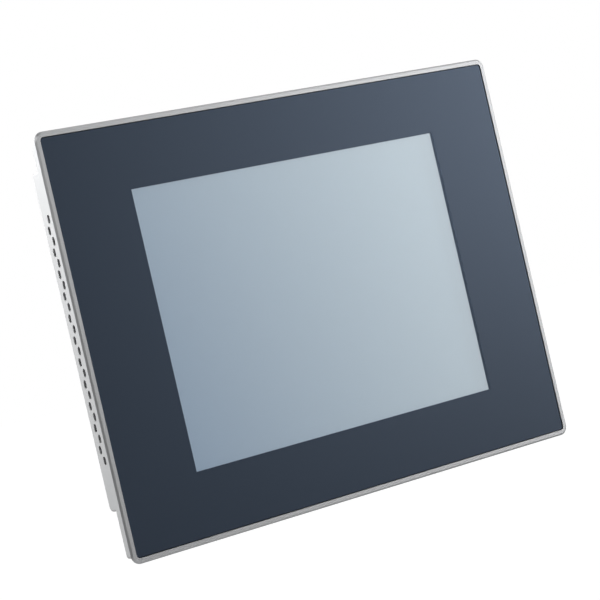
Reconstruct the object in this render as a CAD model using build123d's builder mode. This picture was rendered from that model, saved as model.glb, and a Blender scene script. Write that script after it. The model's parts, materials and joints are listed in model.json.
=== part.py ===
"""Industrial touch panel: an aluminium front flange round a printed glass, a folded steel tray
behind it, and a rear cover that holds the computer board and its connectors.

Millimetres. X runs to the right as the user sees the screen, Y to the back, Z up. The origin is
the centre of the rear mounting pattern, on the outside of the back face, so the screen is at
negative Y. "Depth" below means the distance behind the front surface of the glass.
"""
import os
from math import cos, radians, sin, tan

from build123d import *

os.makedirs("parts", exist_ok=True)

# ---------------------------------------------------------------- driving dimensions: front
front_width = 312.4
front_height = 236.4
front_corner_r = 5.3
flange_face = 3.05  # metal seen between the glass and the outer edge
flange_thickness = 1.2
flange_chamfer = 0.95
flange_proud = 0.4  # the flange stands this far in front of the glass
neck_inset = 2.4  # the flange's neck, which passes through the panel cut-out
ledge_width = 14.0  # from the outer edge to the opening behind the glass
ledge_thickness = 1.4
window_width = 211.2
window_height = 158.4
glass_thickness = 2.8
glass_gap = 0.25
glass_edge_chamfer = 0.25
tape_thickness = 0.5
gasket_inset = 1.0
gasket_thickness = 1.6

# ---------------------------------------------------------------- driving dimensions: housing
sheet = 1.0
tray_inset = 3.0
tray_corner_r = 2.0
rim_depth = 11.0  # depth of the shallow rim's back
block_depth = 18.6  # depth of the tray's full-width middle block
block_top_inset = 19.5  # from the front's top edge to the top of the middle block
block_bottom_inset = 29.3
block_bend_r = 3.0
side_bend_r = 1.4
rear_depth = 44.0  # depth of the rear cover's back face
cover_half_width = 120.0
cover_top = 84.0
cover_bottom = -78.0
cover_bend_r = 2.5
cover_flange = 8.0

# ---------------------------------------------------------------- driving dimensions: details
vent_r = 1.3
vent_length = 4.9  # each vent is a short upright slot with round ends
vent_pitch = 12.1  # along one column
vent_column_gap = 2.2
vent_front_depth = 10.6
vent_front_count = 12
vent_centre_z = 5.7
vesa_spacing = 75.0
insert_bore_r = 1.65
screw_r = 1.2
screw_clearance = 0.05  # round a screw in the hole that it is screwed into
loose_clearance = 0.4  # round a screw in the sheet that it clamps
screw_tail = 1.0  # a screw's tip beyond the sheet that it is screwed into
tray_screw_length = 5.5
tray_screw_x = (45.0, 130.0)
tray_screw_inset = 9.7
module_width = 236.0  # liquid crystal module
module_height = 172.0
module_corner_r = 1.5
view_margin = 3.4  # module opening beyond the printed window
bezel_sheet = 0.8
fit = 0.3  # clearance round a connector in its cut-out

# ---------------------------------------------------------------- values that follow
ledge_front = glass_thickness + tape_thickness
ledge_back = ledge_front + ledge_thickness
flange_back = flange_thickness - flange_proud
opening_width = front_width - 2 * flange_face
opening_height = front_height - 2 * flange_face
opening_r = front_corner_r - flange_face
tray_half_width = front_width / 2 - tray_inset
tray_half_height = front_height / 2 - tray_inset
block_top = front_height / 2 - block_top_inset
block_bottom = -front_height / 2 + block_bottom_inset
tapped_r = screw_r + screw_clearance
loose_r = screw_r + loose_clearance
cut_over = 1.0  # cuts run this far past the faces they open
pierce = 3.0  # bores and cut-outs run this far to each side of the sheet they go through


def y_at(depth):
    """Y of a plane that lies `depth` behind the front of the glass."""
    return depth - rear_depth


def facing(depth):
    """Plane seen from the front, X right and Z up; a negative extrusion runs to the back."""
    return Plane.XZ.offset(-y_at(depth))


def block(x, depth, z, mode=Mode.ADD):
    """Box between the pairs of limits x, depth and z, in the part being built."""
    centre = (sum(x) / 2, y_at(sum(depth) / 2), sum(z) / 2)
    with Locations(centre):
        Box(abs(x[1] - x[0]), abs(depth[1] - depth[0]), abs(z[1] - z[0]), mode=mode)


def rod(radius, depth, points, mode=Mode.ADD):
    """Round bars or bores along Y between two depths, one at each (x, z) point."""
    middle = y_at(sum(depth) / 2)
    with Locations(*[(x, middle, z) for x, z in points]):
        Cylinder(radius, abs(depth[1] - depth[0]), rotation=(90, 0, 0), mode=mode)


def upright(radius, z, points, mode=Mode.ADD):
    """Round bars or bores along Z between two heights, one at each (x, depth) point."""
    with Locations(*[(x, y_at(depth), sum(z) / 2) for x, depth in points]):
        Cylinder(radius, abs(z[1] - z[0]), mode=mode)


def crosswise(radius, x, points, mode=Mode.ADD):
    """Round bars or bores along X between two places, one at each (depth, z) point."""
    with Locations(*[(sum(x) / 2, y_at(depth), z) for depth, z in points]):
        Cylinder(radius, abs(x[1] - x[0]), rotation=(0, 90, 0), mode=mode)


def back_screws(head_depth, length, points, head_r=2.75, head_height=1.9):
    """Pan-head screws driven from the back: the heads sit behind `head_depth`."""
    recess_width, recess_span, recess_depth = 0.7, 3.2, 1.1
    rod(head_r, (head_depth, head_depth + head_height), points)
    top_edges = edges().filter_by(GeomType.CIRCLE).group_by(Axis.Y)[-1]
    fillet(top_edges, head_height / 2.5)
    rod(screw_r, (head_depth - length, head_depth), points)
    recess = (head_depth + head_height - recess_depth, head_depth + head_height + cut_over)
    for x, z in points:
        for half_x, half_z in ((recess_span, recess_width), (recess_width, recess_span)):
            across = (x - half_x / 2, x + half_x / 2)
            upwards = (z - half_z / 2, z + half_z / 2)
            block(across, recess, upwards, mode=Mode.SUBTRACT)


def save(piece, name):
    """Label a finished piece and write its STEP file."""
    piece.part.label = name
    export_step(piece.part, f"parts/{name}.step")


# ================================================================ front flange, gasket, glass
boss_r = 3.2
tray_screw_points = [
    (side * x, end * (front_height / 2 - tray_screw_inset))
    for x in tray_screw_x
    for side in (-1, 1)
    for end in (-1, 1)
]

with BuildPart() as bezel_frame:
    with BuildSketch(facing(-flange_proud)):
        RectangleRounded(front_width, front_height, front_corner_r)
    extrude(amount=-flange_thickness)
    outer_rim = faces().sort_by(Axis.Y)[0].edges()
    chamfer(outer_rim, flange_chamfer)
    neck_r = front_corner_r - neck_inset
    with BuildSketch(facing(flange_back)):
        RectangleRounded(front_width - 2 * neck_inset, front_height - 2 * neck_inset, neck_r)
    extrude(amount=-(ledge_back - flange_back))
    with BuildSketch(facing(-flange_proud)):
        RectangleRounded(opening_width, opening_height, opening_r)
    extrude(amount=-(ledge_front + flange_proud), mode=Mode.SUBTRACT)
    with BuildSketch(facing(ledge_front)):
        RectangleRounded(front_width - 2 * ledge_width, front_height - 2 * ledge_width, opening_r)
    extrude(amount=-ledge_thickness, mode=Mode.SUBTRACT)
    rod(boss_r, (ledge_back, rim_depth - sheet), tray_screw_points)
    bore_end = ledge_back + screw_clearance
    rod(tapped_r, (bore_end, rim_depth), tray_screw_points, Mode.SUBTRACT)
save(bezel_frame, "bezel_frame")

with BuildPart() as panel_gasket:
    gasket_inner = neck_inset - screw_clearance
    with BuildSketch(facing(flange_back)):
        RectangleRounded(
            front_width - 2 * gasket_inset,
            front_height - 2 * gasket_inset,
            front_corner_r - gasket_inset,
        )
        RectangleRounded(
            front_width - 2 * gasket_inner,
            front_height - 2 * gasket_inner,
            front_corner_r - gasket_inner,
            mode=Mode.SUBTRACT,
        )
    extrude(amount=-gasket_thickness)
save(panel_gasket, "panel_gasket")

glass_width = opening_width - 2 * glass_gap
glass_height = opening_height - 2 * glass_gap
with BuildPart() as front_glass:
    with BuildSketch(facing(0)):
        RectangleRounded(glass_width, glass_height, opening_r - glass_gap)
    extrude(amount=-glass_thickness)
    chamfer(faces().sort_by(Axis.Y)[0].edges(), glass_edge_chamfer)
save(front_glass, "front_glass")

tape_margin = 0.6
with BuildPart() as glass_tape:
    with BuildSketch(facing(glass_thickness)):
        RectangleRounded(glass_width - 2 * tape_margin, glass_height - 2 * tape_margin, opening_r / 2)
        Rectangle(
            front_width - 2 * (ledge_width - tape_margin),
            front_height - 2 * (ledge_width - tape_margin),
            mode=Mode.SUBTRACT,
        )
    extrude(amount=-tape_thickness)
save(glass_tape, "glass_tape")

# ================================================================ touch sensor and its tail
sensor_border = 10.4
sensor_thickness = 1.1
sensor_back = glass_thickness + sensor_thickness
sensor_half_width = window_width / 2 + sensor_border
with BuildPart() as touch_sensor:
    with BuildSketch(facing(glass_thickness)):
        Rectangle(2 * sensor_half_width, window_height + 2 * sensor_border)
    extrude(amount=-sensor_thickness)
save(touch_sensor, "touch_sensor")

# ================================================================ liquid crystal module
seal_thickness = 0.7
seal_width = 3.2
module_front = sensor_back + seal_thickness
view_width = window_width + 2 * view_margin
view_height = window_height + 2 * view_margin
with BuildPart() as lcd_gasket:
    with BuildSketch(facing(sensor_back)):
        Rectangle(view_width + 2 * seal_width, view_height + 2 * seal_width)
        Rectangle(view_width, view_height, mode=Mode.SUBTRACT)
    extrude(amount=-seal_thickness)
save(lcd_gasket, "lcd_gasket")

module_back = module_front + 7.4
side_screw_depth = module_front + 4.7
side_screw_z = 40.0
side_screw_points = [(side_screw_depth, -side_screw_z), (side_screw_depth, side_screw_z)]
side_bore_r = screw_r + 2 * screw_clearance
with BuildPart() as lcd_bezel:
    with BuildSketch(facing(module_front)):
        RectangleRounded(module_width, module_height, module_corner_r)
    extrude(amount=-(module_back - module_front))
    with BuildSketch(facing(module_front + bezel_sheet)):
        Rectangle(module_width - 2 * bezel_sheet, module_height - 2 * bezel_sheet)
    extrude(amount=-(module_back - module_front), mode=Mode.SUBTRACT)
    with BuildSketch(facing(module_front)):
        Rectangle(view_width, view_height)
    extrude(amount=-bezel_sheet, mode=Mode.SUBTRACT)
    crosswise(side_bore_r, (-module_width, module_width), side_screw_points, Mode.SUBTRACT)
save(lcd_bezel, "lcd_bezel")

cell_thickness = 1.4
cell_margin = 0.5
cell_front = module_front + bezel_sheet
cell_back = cell_front + cell_thickness
with BuildPart() as lcd_cell:
    with BuildSketch(facing(cell_front)):
        Rectangle(
            module_width - 2 * (bezel_sheet + cell_margin),
            module_height - 2 * (bezel_sheet + cell_margin),
        )
    extrude(amount=-cell_thickness)
save(lcd_cell, "lcd_cell")

pan_gap = 0.2
pan_wall = 1.2
pan_floor = 1.0
pan_depth = 5.0
pan_back = cell_back + pan_depth
pan_width = module_width - 2 * (bezel_sheet + pan_gap)
pan_height = module_height - 2 * (bezel_sheet + pan_gap)
with BuildPart() as backlight_pan:
    with BuildSketch(facing(cell_back)):
        Rectangle(pan_width, pan_height)
    extrude(amount=-pan_depth)
    with BuildSketch(facing(cell_back)):
        Rectangle(pan_width - 2 * pan_wall, pan_height - 2 * pan_wall)
    extrude(amount=-(pan_depth - pan_floor), mode=Mode.SUBTRACT)
    crosswise(side_bore_r, (-module_width, module_width), side_screw_points, Mode.SUBTRACT)
save(backlight_pan, "backlight_pan")

diffuser_thickness = 0.5
sheet_gap = 0.3
inner_half_width = pan_width / 2 - pan_wall
inner_half_height = pan_height / 2 - pan_wall
diffuser_gap = 0.1
guide_front = cell_back + diffuser_thickness + diffuser_gap
guide_back = pan_back - pan_floor
with BuildPart() as diffuser:
    half = (inner_half_width - sheet_gap, inner_half_height - sheet_gap)
    block((-half[0], half[0]), (guide_front - diffuser_thickness, guide_front), (-half[1], half[1]))
save(diffuser, "diffuser")

strip_thickness = 0.8
led_height = 0.9
led_gap = 0.3
strip_gap = 0.05
strip_foot = -inner_half_height + strip_gap
strip_top = strip_foot + strip_thickness
guide_foot = strip_top + led_height + led_gap
with BuildPart() as light_guide:
    block((-half[0], half[0]), (guide_front, guide_back), (guide_foot, half[1]))
save(light_guide, "light_guide")

led_count = 24
led_width = 6.0
led_inset = 0.4
led_depth = (guide_front + led_inset, guide_back - led_inset)
with BuildPart() as led_strip:
    block((-half[0], half[0]), (guide_front, guide_back), (strip_foot, strip_top))
    led_middle = (0, y_at(sum(led_depth) / 2), strip_top + led_height / 2)
    with Locations(led_middle):
        with GridLocations(2 * half[0] / led_count, 1, led_count, 1):
            Box(led_width, led_depth[1] - led_depth[0], led_height)
save(led_strip, "led_strip")

board = 1.2  # thickness of the small boards
display_board_half = 84.0
display_board_z = (50.0, 80.0)
with BuildPart() as display_board:
    block((-display_board_half, display_board_half), (pan_back, pan_back + board), display_board_z)
save(display_board, "display_board")

socket_half = 14.0
flex_half = 12.0
flex_thickness = 0.4
flex_z = 66.0
socket_half_height = 2.6
mainboard_front = 24.0
mainboard_thickness = 1.6
mainboard_back = mainboard_front + mainboard_thickness
socket_reach = 3.0
display_socket = (pan_back + board, pan_back + board + socket_reach)
board_socket = (mainboard_front - socket_reach, mainboard_front)
with BuildPart() as display_connectors:
    for span in (display_socket, board_socket):
        block((-socket_half, socket_half), span, (flex_z - socket_half_height, flex_z + socket_half_height))
save(display_connectors, "display_connectors")

with BuildPart() as display_flex:
    block(
        (-flex_half, flex_half),
        (display_socket[1], board_socket[0]),
        (flex_z - flex_thickness / 2, flex_z + flex_thickness / 2),
    )
save(display_flex, "display_flex")

# ================================================================ module brackets
bracket_sheet = 1.2
bracket_half_height = 60.0
bracket_reach = 24.0
foot_back = block_depth - sheet
foot_screw_z = 45.0
foot_screw_x = module_width / 2 + 18.0
foot_screw_points = [(s * foot_screw_x, e * foot_screw_z) for s in (-1, 1) for e in (-1, 1)]
for side, name in ((-1, "lcd_bracket_left"), (1, "lcd_bracket_right")):
    wall_x = side * module_width / 2
    with BuildPart() as lcd_bracket:
        tall = (-bracket_half_height, bracket_half_height)
        block((wall_x, wall_x + side * bracket_sheet), (cell_front, foot_back), tall)
        block((wall_x, wall_x + side * bracket_reach), (foot_back - bracket_sheet, foot_back), tall)
        crosswise(side_bore_r, (wall_x - pierce, wall_x + pierce), side_screw_points, Mode.SUBTRACT)
        feet = [point for point in foot_screw_points if point[0] * side > 0]
        rod(tapped_r, (foot_back - pierce, foot_back + pierce), feet, Mode.SUBTRACT)
    save(lcd_bracket, name)

side_head_r = 2.2
side_head_height = 1.3
with BuildPart() as bracket_side_screws:
    for side in (-1, 1):
        head_foot = side * (module_width / 2 + bracket_sheet)
        head_top = head_foot + side * side_head_height
        tip = head_foot - side * (bracket_sheet + bezel_sheet + pan_gap + pan_wall)
        crosswise(side_head_r, (head_foot, head_top), side_screw_points)
        crosswise(screw_r, (tip, head_foot), side_screw_points)
save(bracket_side_screws, "bracket_side_screws")

with BuildPart() as bracket_foot_screws:
    back_screws(block_depth, sheet + bracket_sheet + screw_tail, foot_screw_points)
save(bracket_foot_screws, "bracket_foot_screws")

# ================================================================ rear tray with side vents
cable_slot_half = 20.0
cable_slot_half_height = 8.0


def tray_side(shrink, front):
    """Side outline of the tray in Y and Z, drawn `shrink` inside its outer faces."""
    rim, rear = y_at(rim_depth - shrink), y_at(block_depth - shrink)
    edge = tray_half_height - shrink
    low, high = block_bottom + shrink, block_top - shrink
    return [
        (front, -edge), (rim, -edge), (rim, low), (rear, low),
        (rear, high), (rim, high), (rim, edge), (front, edge),
    ]


vent_front_z = [
    vent_centre_z + (i - (vent_front_count - 1) / 2) * vent_pitch for i in range(vent_front_count)
]
vent_rear_z = [z + vent_pitch / 2 for z in vent_front_z[:-1]]

# screws that hold the rear cover's flange: three down each side and two along the top
cover_screw_z = (-68.0, 0.0, 74.0)
cover_screw_top_x = 60.0
cover_screw_points = [
    (side * (cover_half_width + cover_flange / 2), z) for side in (-1, 1) for z in cover_screw_z
]
cover_screw_points += [
    (side * cover_screw_top_x, cover_top + cover_flange / 2) for side in (-1, 1)
]

with BuildPart() as rear_tray:
    with BuildSketch(Plane.YZ) as outer_side:
        Polygon(*tray_side(0, y_at(ledge_back)), align=None)
        fillet(outer_side.vertices().group_by(Axis.X)[-1], block_bend_r)
    extrude(amount=tray_half_width, both=True)
    corners = edges().filter_by(Axis.Y).filter_by(lambda e: abs(e.center().Z) > tray_half_height - 0.1)
    fillet(corners, tray_corner_r)
    side_bends = edges().filter_by(Axis.Z).filter_by(lambda e: e.center().Y > y_at(block_depth) - 0.1)
    fillet(side_bends, side_bend_r)
    with BuildSketch(Plane.YZ) as inner_side:
        Polygon(*tray_side(sheet, y_at(ledge_back) - cut_over), align=None)
        fillet(inner_side.vertices().group_by(Axis.X)[-1], block_bend_r - sheet)
    extrude(amount=tray_half_width - sheet, both=True, mode=Mode.SUBTRACT)
    vents = [(vent_front_depth, z) for z in vent_front_z]
    vents += [(vent_front_depth + vent_column_gap, z) for z in vent_rear_z]
    across = (-front_width, front_width)
    vent_straight = vent_length / 2 - vent_r
    for end in (-vent_straight, vent_straight):
        crosswise(vent_r, across, [(depth, z + end) for depth, z in vents], Mode.SUBTRACT)
    for depth, z in vents:
        vent_depth = (depth - vent_r, depth + vent_r)
        block(across, vent_depth, (z - vent_straight, z + vent_straight), mode=Mode.SUBTRACT)
    rod(loose_r, (rim_depth - pierce, rim_depth + pierce), tray_screw_points, Mode.SUBTRACT)
    back_wall = (block_depth - pierce, block_depth + pierce)
    rod(loose_r, back_wall, foot_screw_points, Mode.SUBTRACT)
    rod(tapped_r, back_wall, cover_screw_points, Mode.SUBTRACT)
    block(
        (-cable_slot_half, cable_slot_half),
        back_wall,
        (flex_z - cable_slot_half_height, flex_z + cable_slot_half_height),
        mode=Mode.SUBTRACT,
    )
save(rear_tray, "rear_tray")

with BuildPart() as tray_screws:
    back_screws(rim_depth, tray_screw_length, tray_screw_points)
save(tray_screws, "tray_screws")

# ================================================================ small boards inside the tray
side_board_gap, side_board_width = 8.0, 22.0
side_board_left = module_width / 2 + side_board_gap
side_board_x = (side_board_left, side_board_left + side_board_width)
side_board_z = (64.0, 94.0)
pillar_height = 2.0
pillar_r = 2.0
side_board_back = foot_back - pillar_height
side_board_front = side_board_back - board
pillar_edge = 3.5
side_pillars = [
    (side * x, z)
    for side in (-1, 1)
    for x in (side_board_x[0] + pillar_edge, side_board_x[1] - pillar_edge)
    for z in (side_board_z[0] + pillar_edge, side_board_z[1] - pillar_edge)
]
with BuildPart() as touch_controller:
    block(side_board_x, (side_board_front, side_board_back), side_board_z)
save(touch_controller, "touch_controller")

with BuildPart() as backlight_driver:
    block((-side_board_x[0], -side_board_x[1]), (side_board_front, side_board_back), side_board_z)
save(backlight_driver, "backlight_driver")

with BuildPart() as board_pillars:
    rod(pillar_r, (side_board_back, foot_back), side_pillars)
save(board_pillars, "board_pillars")

tail_z = (68.0, 80.0)
tail_sheet = 0.3
tail_turn_gap = 5.0  # from the module's side to the tail's bend
tail_lap = 4.0  # the tail's end lies this far on its board
tail_clear = 0.4
tail_turn_x = module_width / 2 + tail_turn_gap
tail_start_x = view_width / 2 + seal_width + tail_clear
with BuildPart() as touch_tail:
    block((tail_start_x, tail_turn_x), (sensor_back, sensor_back + tail_sheet), tail_z)
    tail_end = (side_board_front - tail_sheet, side_board_front)
    block((tail_turn_x - tail_sheet, tail_turn_x), (sensor_back, tail_end[1]), tail_z)
    block((tail_turn_x - tail_sheet, side_board_x[0] + tail_lap), tail_end, tail_z)
save(touch_tail, "touch_tail")

# ================================================================ connector row, left to right
row_back = mainboard_back  # connectors stand on the back of the mainboard
power_x = -97.0
switch_x = -70.0
reset_x = -54.0
lan_x = (-40.0, -21.0)
usb_x = (-3.5, 13.5)
serial_x = 40.5
card_x = 85.0
mouth_reach = 0.4
mouth_z = cover_bottom - mouth_reach  # connector mouths, just outside the cover

lan_width, lan_height, lan_length = 16.0, 13.4, 16.5
lan_cavity = (11.9, 8.4, 13.0)
lan_notch = (6.2, 2.0)
lan_floor = 1.3
for number, x in enumerate(lan_x, start=1):
    with BuildPart() as lan_port:
        block(
            (x - lan_width / 2, x + lan_width / 2),
            (row_back, row_back + lan_height),
            (mouth_z, mouth_z + lan_length),
        )
        cavity_z = (mouth_z - cut_over, mouth_z + lan_cavity[2])
        cavity_top = row_back + lan_floor + lan_notch[1]
        block(
            (x - lan_cavity[0] / 2, x + lan_cavity[0] / 2),
            (cavity_top, cavity_top + lan_cavity[1]),
            cavity_z,
            mode=Mode.SUBTRACT,
        )
        block(
            (x - lan_notch[0] / 2, x + lan_notch[0] / 2),
            (row_back + lan_floor, cavity_top),
            cavity_z,
            mode=Mode.SUBTRACT,
        )
    save(lan_port, f"lan_port_{number}")

usb_width, usb_height, usb_length = 13.6, 6.6, 14.0
usb_sheet = 0.5
usb_tongue = (11.2, 1.9, 9.0)
usb_tongue_lift = 0.6
usb_base = 3.0
with BuildPart() as usb_ports:
    for x in usb_x:
        outside = (x - usb_width / 2, x + usb_width / 2)
        block(outside, (row_back, row_back + usb_height), (mouth_z, mouth_z + usb_length))
        block(
            (outside[0] + usb_sheet, outside[1] - usb_sheet),
            (row_back + usb_sheet, row_back + usb_height - usb_sheet),
            (mouth_z - cut_over, mouth_z + usb_length - usb_sheet),
            mode=Mode.SUBTRACT,
        )
save(usb_ports, "usb_ports")

with BuildPart() as usb_tongues:
    base_top = mouth_z + usb_length - usb_sheet
    for x in usb_x:
        wide = usb_width / 2 - usb_sheet
        block(
            (x - wide, x + wide),
            (row_back + usb_sheet, row_back + usb_height - usb_sheet),
            (base_top - usb_base, base_top),
        )
        tongue_front = row_back + usb_sheet + usb_tongue_lift
        block(
            (x - usb_tongue[0] / 2, x + usb_tongue[0] / 2),
            (tongue_front, tongue_front + usb_tongue[1]),
            (base_top - usb_base - usb_tongue[2], base_top - usb_base),
        )
save(usb_tongues, "usb_tongues")

serial_body = (30.8, 12.5, 10.0)
serial_middle = row_back + serial_body[1] / 2
serial_face_z = cover_bottom + sheet
shell_width, shell_height, shell_reach = 19.0, 10.9, 5.8
shell_slant = 1.9
shell_r = 2.2
stud_half_spacing = 12.5
stud_bore_r, stud_bore_depth = 1.5, 5.0
pin_hole_r = 0.55
pin_pitch = 2.77
pin_row_gap = 2.84
pin_points = [(serial_x + (i - 2) * pin_pitch, serial_middle + pin_row_gap / 2) for i in range(5)]
pin_points += [(serial_x + (i - 1.5) * pin_pitch, serial_middle - pin_row_gap / 2) for i in range(4)]


def shell_outline(extra=0.0):
    """Corners of the trapezoid of the nine-way shell, grown by `extra` all round."""
    half, rise = shell_width / 2 + extra, shell_height / 2 + extra
    middle = y_at(serial_middle)
    return [
        (serial_x - half + shell_slant, middle - rise), (serial_x + half - shell_slant, middle - rise),
        (serial_x + half, middle + rise), (serial_x - half, middle + rise),
    ]


with BuildPart() as serial_port:
    block(
        (serial_x - serial_body[0] / 2, serial_x + serial_body[0] / 2),
        (row_back, row_back + serial_body[1]),
        (serial_face_z, serial_face_z + serial_body[2]),
    )
    with BuildSketch(Plane.XY.offset(serial_face_z)) as shell:
        Polygon(*shell_outline(), align=None)
        fillet(shell.vertices(), shell_r)
    extrude(amount=-(shell_reach + sheet))
    upright(pin_hole_r, (mouth_z - shell_reach - pierce, serial_face_z), pin_points, Mode.SUBTRACT)
    stud_points = [(serial_x + s * stud_half_spacing, serial_middle) for s in (-1, 1)]
    stud_bore = (serial_face_z - cut_over, serial_face_z + stud_bore_depth)
    upright(stud_bore_r, stud_bore, stud_points, Mode.SUBTRACT)
save(serial_port, "serial_port")

stud_flats = 4.8
stud_length = 5.0
stud_shank_r, stud_shank_length = 1.4, 4.0
stud_thread_r = 1.2
stud_web = 0.2  # metal left between the stud's bore and the cover's face
with BuildPart() as serial_studs:
    with BuildSketch(Plane.XY.offset(cover_bottom)):
        with Locations(*[(x, y_at(depth)) for x, depth in stud_points]):
            RegularPolygon(stud_flats / 2, 6, major_radius=False)
    extrude(amount=-stud_length)
    upright(stud_shank_r, (cover_bottom, serial_face_z + stud_shank_length), stud_points)
    stud_mouth = cover_bottom - stud_length - cut_over
    upright(stud_thread_r, (stud_mouth, cover_bottom - stud_web), stud_points, Mode.SUBTRACT)
save(serial_studs, "serial_studs")

# ================================================================ pluggable supply terminal
pole_pitch = 5.08
poles = 3
header_wall = 1.0
plug_gap = 0.2
plug_width = poles * pole_pitch
plug_height = 8.4
plug_length = 17.0
header_depth = 9.0
header_width = plug_width + 2 * (plug_gap + header_wall)
header_height = plug_height + 2 * (plug_gap + header_wall)
power_middle = row_back + header_height / 2
pole_x = [power_x + (i - (poles - 1) / 2) * pole_pitch for i in range(poles)]
header_floor = 2.5
header_top = mouth_z + header_depth + header_floor
contact_r = 0.6
contact_gap = 0.25
contact_recess = 2.0  # the contacts' tips lie this far inside the header's mouth
contact_points = [(x, power_middle) for x in pole_x]
with BuildPart() as power_header:
    block(
        (power_x - header_width / 2, power_x + header_width / 2),
        (row_back, row_back + header_height),
        (mouth_z, header_top),
    )
    block(
        (power_x - plug_width / 2 - plug_gap, power_x + plug_width / 2 + plug_gap),
        (row_back + header_wall, row_back + header_height - header_wall),
        (mouth_z - cut_over, mouth_z + header_depth),
        mode=Mode.SUBTRACT,
    )
    upright(contact_r, (mouth_z, header_top + cut_over), contact_points, Mode.SUBTRACT)
save(power_header, "power_header")

with BuildPart() as power_contacts:
    upright(contact_r, (mouth_z + contact_recess, header_top), contact_points)
save(power_contacts, "power_contacts")

plug_top = mouth_z + header_depth - plug_gap
plug_foot = plug_top - plug_length
wire_hole_r, wire_hole_length = 1.5, 6.5
clamp_r = 1.6
clamp_lift = 4.2  # clamp screws above the plug's foot
clamp_z = plug_foot + clamp_lift
clamp_depth = 2.6
clamp_gap = 0.1
clamp_sink = 0.5  # heads below the plug's surface
clamp_slot_width, clamp_slot_depth = 0.7, 0.7
with BuildPart() as power_plug:
    block(
        (power_x - plug_width / 2, power_x + plug_width / 2),
        (power_middle - plug_height / 2, power_middle + plug_height / 2),
        (plug_foot, plug_top),
    )
    contact_hole = (mouth_z + contact_recess - cut_over, plug_top + cut_over)
    upright(contact_r + contact_gap, contact_hole, contact_points, Mode.SUBTRACT)
    wire_hole = (plug_foot - cut_over, plug_foot + wire_hole_length)
    upright(wire_hole_r, wire_hole, contact_points, Mode.SUBTRACT)
    clamp_back = power_middle + plug_height / 2
    clamp_points = [(x, clamp_z) for x in pole_x]
    clamp_well = (clamp_back - clamp_depth, clamp_back + cut_over)
    rod(clamp_r + clamp_gap, clamp_well, clamp_points, Mode.SUBTRACT)
save(power_plug, "power_plug")

with BuildPart() as clamp_screws:
    clamp_head = clamp_back - clamp_sink
    rod(clamp_r, (clamp_back - clamp_depth, clamp_head), clamp_points)
    for x in pole_x:
        block(
            (x - clamp_r - cut_over, x + clamp_r + cut_over),
            (clamp_head - clamp_slot_depth, clamp_head + cut_over),
            (clamp_z - clamp_slot_width / 2, clamp_z + clamp_slot_width / 2),
            mode=Mode.SUBTRACT,
        )
save(clamp_screws, "clamp_screws")

# ================================================================ rocker switch and reset button
switch_depth = 34.0
rocker_r = 6.4
rocker_width = 7.4
rocker_gap = 0.35
switch_wall = (1.45, 1.15)
switch_rim = 1.3
switch_rim_thickness = 1.6
switch_length = 15.0
rocker_lean = 7.0  # degrees; the rocker tips this far to each side of the middle
rocker_lift = 2.6  # pivot height inside the outer face of the switch
pivot_r = 0.9
pivot_gap = 0.06
pivot_stub = 0.9
pivot_end_gap = 0.2
well = (rocker_r + rocker_gap, rocker_width / 2 + rocker_gap)
switch_half = (well[0] + switch_wall[0], well[1] + switch_wall[1])
switch_face_z = cover_bottom - switch_rim_thickness
pivot_z = switch_face_z + rocker_lift
switch_y = y_at(switch_depth)
with BuildPart() as power_switch:
    rim_half = (switch_half[0] + switch_rim, switch_half[1] + switch_rim)
    block(
        (switch_x - rim_half[0], switch_x + rim_half[0]),
        (switch_depth - rim_half[1], switch_depth + rim_half[1]),
        (switch_face_z, cover_bottom),
    )
    block(
        (switch_x - switch_half[0], switch_x + switch_half[0]),
        (switch_depth - switch_half[1], switch_depth + switch_half[1]),
        (cover_bottom, cover_bottom + switch_length),
    )
    block(
        (switch_x - well[0], switch_x + well[0]),
        (switch_depth - well[1], switch_depth + well[1]),
        (switch_face_z - cut_over, pivot_z + rocker_r + rocker_gap),
        mode=Mode.SUBTRACT,
    )
    stub_span = rocker_width + 2 * (pivot_stub + pivot_end_gap)
    with Locations((switch_x, switch_y, pivot_z)):
        Cylinder(pivot_r + pivot_gap, stub_span, rotation=(90, 0, 0), mode=Mode.SUBTRACT)
save(power_switch, "power_switch")

# the rocker rests tipped to its off side; its two faces meet in a shallow V over the pivot
rocker_crown = 0.2  # the V's bottom stands this far out of the switch's face
rocker_drop = rocker_lift + rocker_crown
rocker_end = rocker_drop + 2 * rocker_r * tan(radians(rocker_lean))
rocker_plane = Plane(
    origin=(switch_x, switch_y, pivot_z),
    x_dir=(cos(radians(rocker_lean)), 0, sin(radians(rocker_lean))),
    z_dir=(0, -1, 0),
)
with BuildPart() as power_rocker:
    with BuildSketch(rocker_plane):
        Circle(rocker_r)
        Polygon(
            (-2 * rocker_r, -3 * rocker_r), (2 * rocker_r, -3 * rocker_r),
            (2 * rocker_r, -rocker_end), (0, -rocker_drop), (-2 * rocker_r, -rocker_end),
            align=None, mode=Mode.SUBTRACT,
        )
    extrude(amount=rocker_width / 2, both=True)
    with Locations((switch_x, switch_y, pivot_z)):
        Cylinder(pivot_r, rocker_width + 2 * pivot_stub, rotation=(90, 0, 0))
save(power_rocker, "power_rocker")

reset_depth = 31.0
reset_r = 1.5
reset_hole_r = 1.9
reset_travel = 0.8
reset_length = 5.0
reset_reach = 0.6  # the button's tip outside the cover
reset_tip_r = 0.3
reset_collar_r, reset_collar, reset_collar_gap = 2.4, 0.8, 0.15
reset_foot = cover_bottom - reset_reach
reset_head = reset_foot + reset_length
with BuildPart() as reset_button:
    upright(reset_r, (reset_foot, reset_head), [(reset_x, reset_depth)])
    fillet(edges().filter_by(GeomType.CIRCLE).sort_by(Axis.Z)[0], reset_tip_r)
    collar_foot = cover_bottom + sheet + reset_collar_gap
    upright(reset_collar_r, (collar_foot, collar_foot + reset_collar), [(reset_x, reset_depth)])
save(reset_button, "reset_button")

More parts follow.
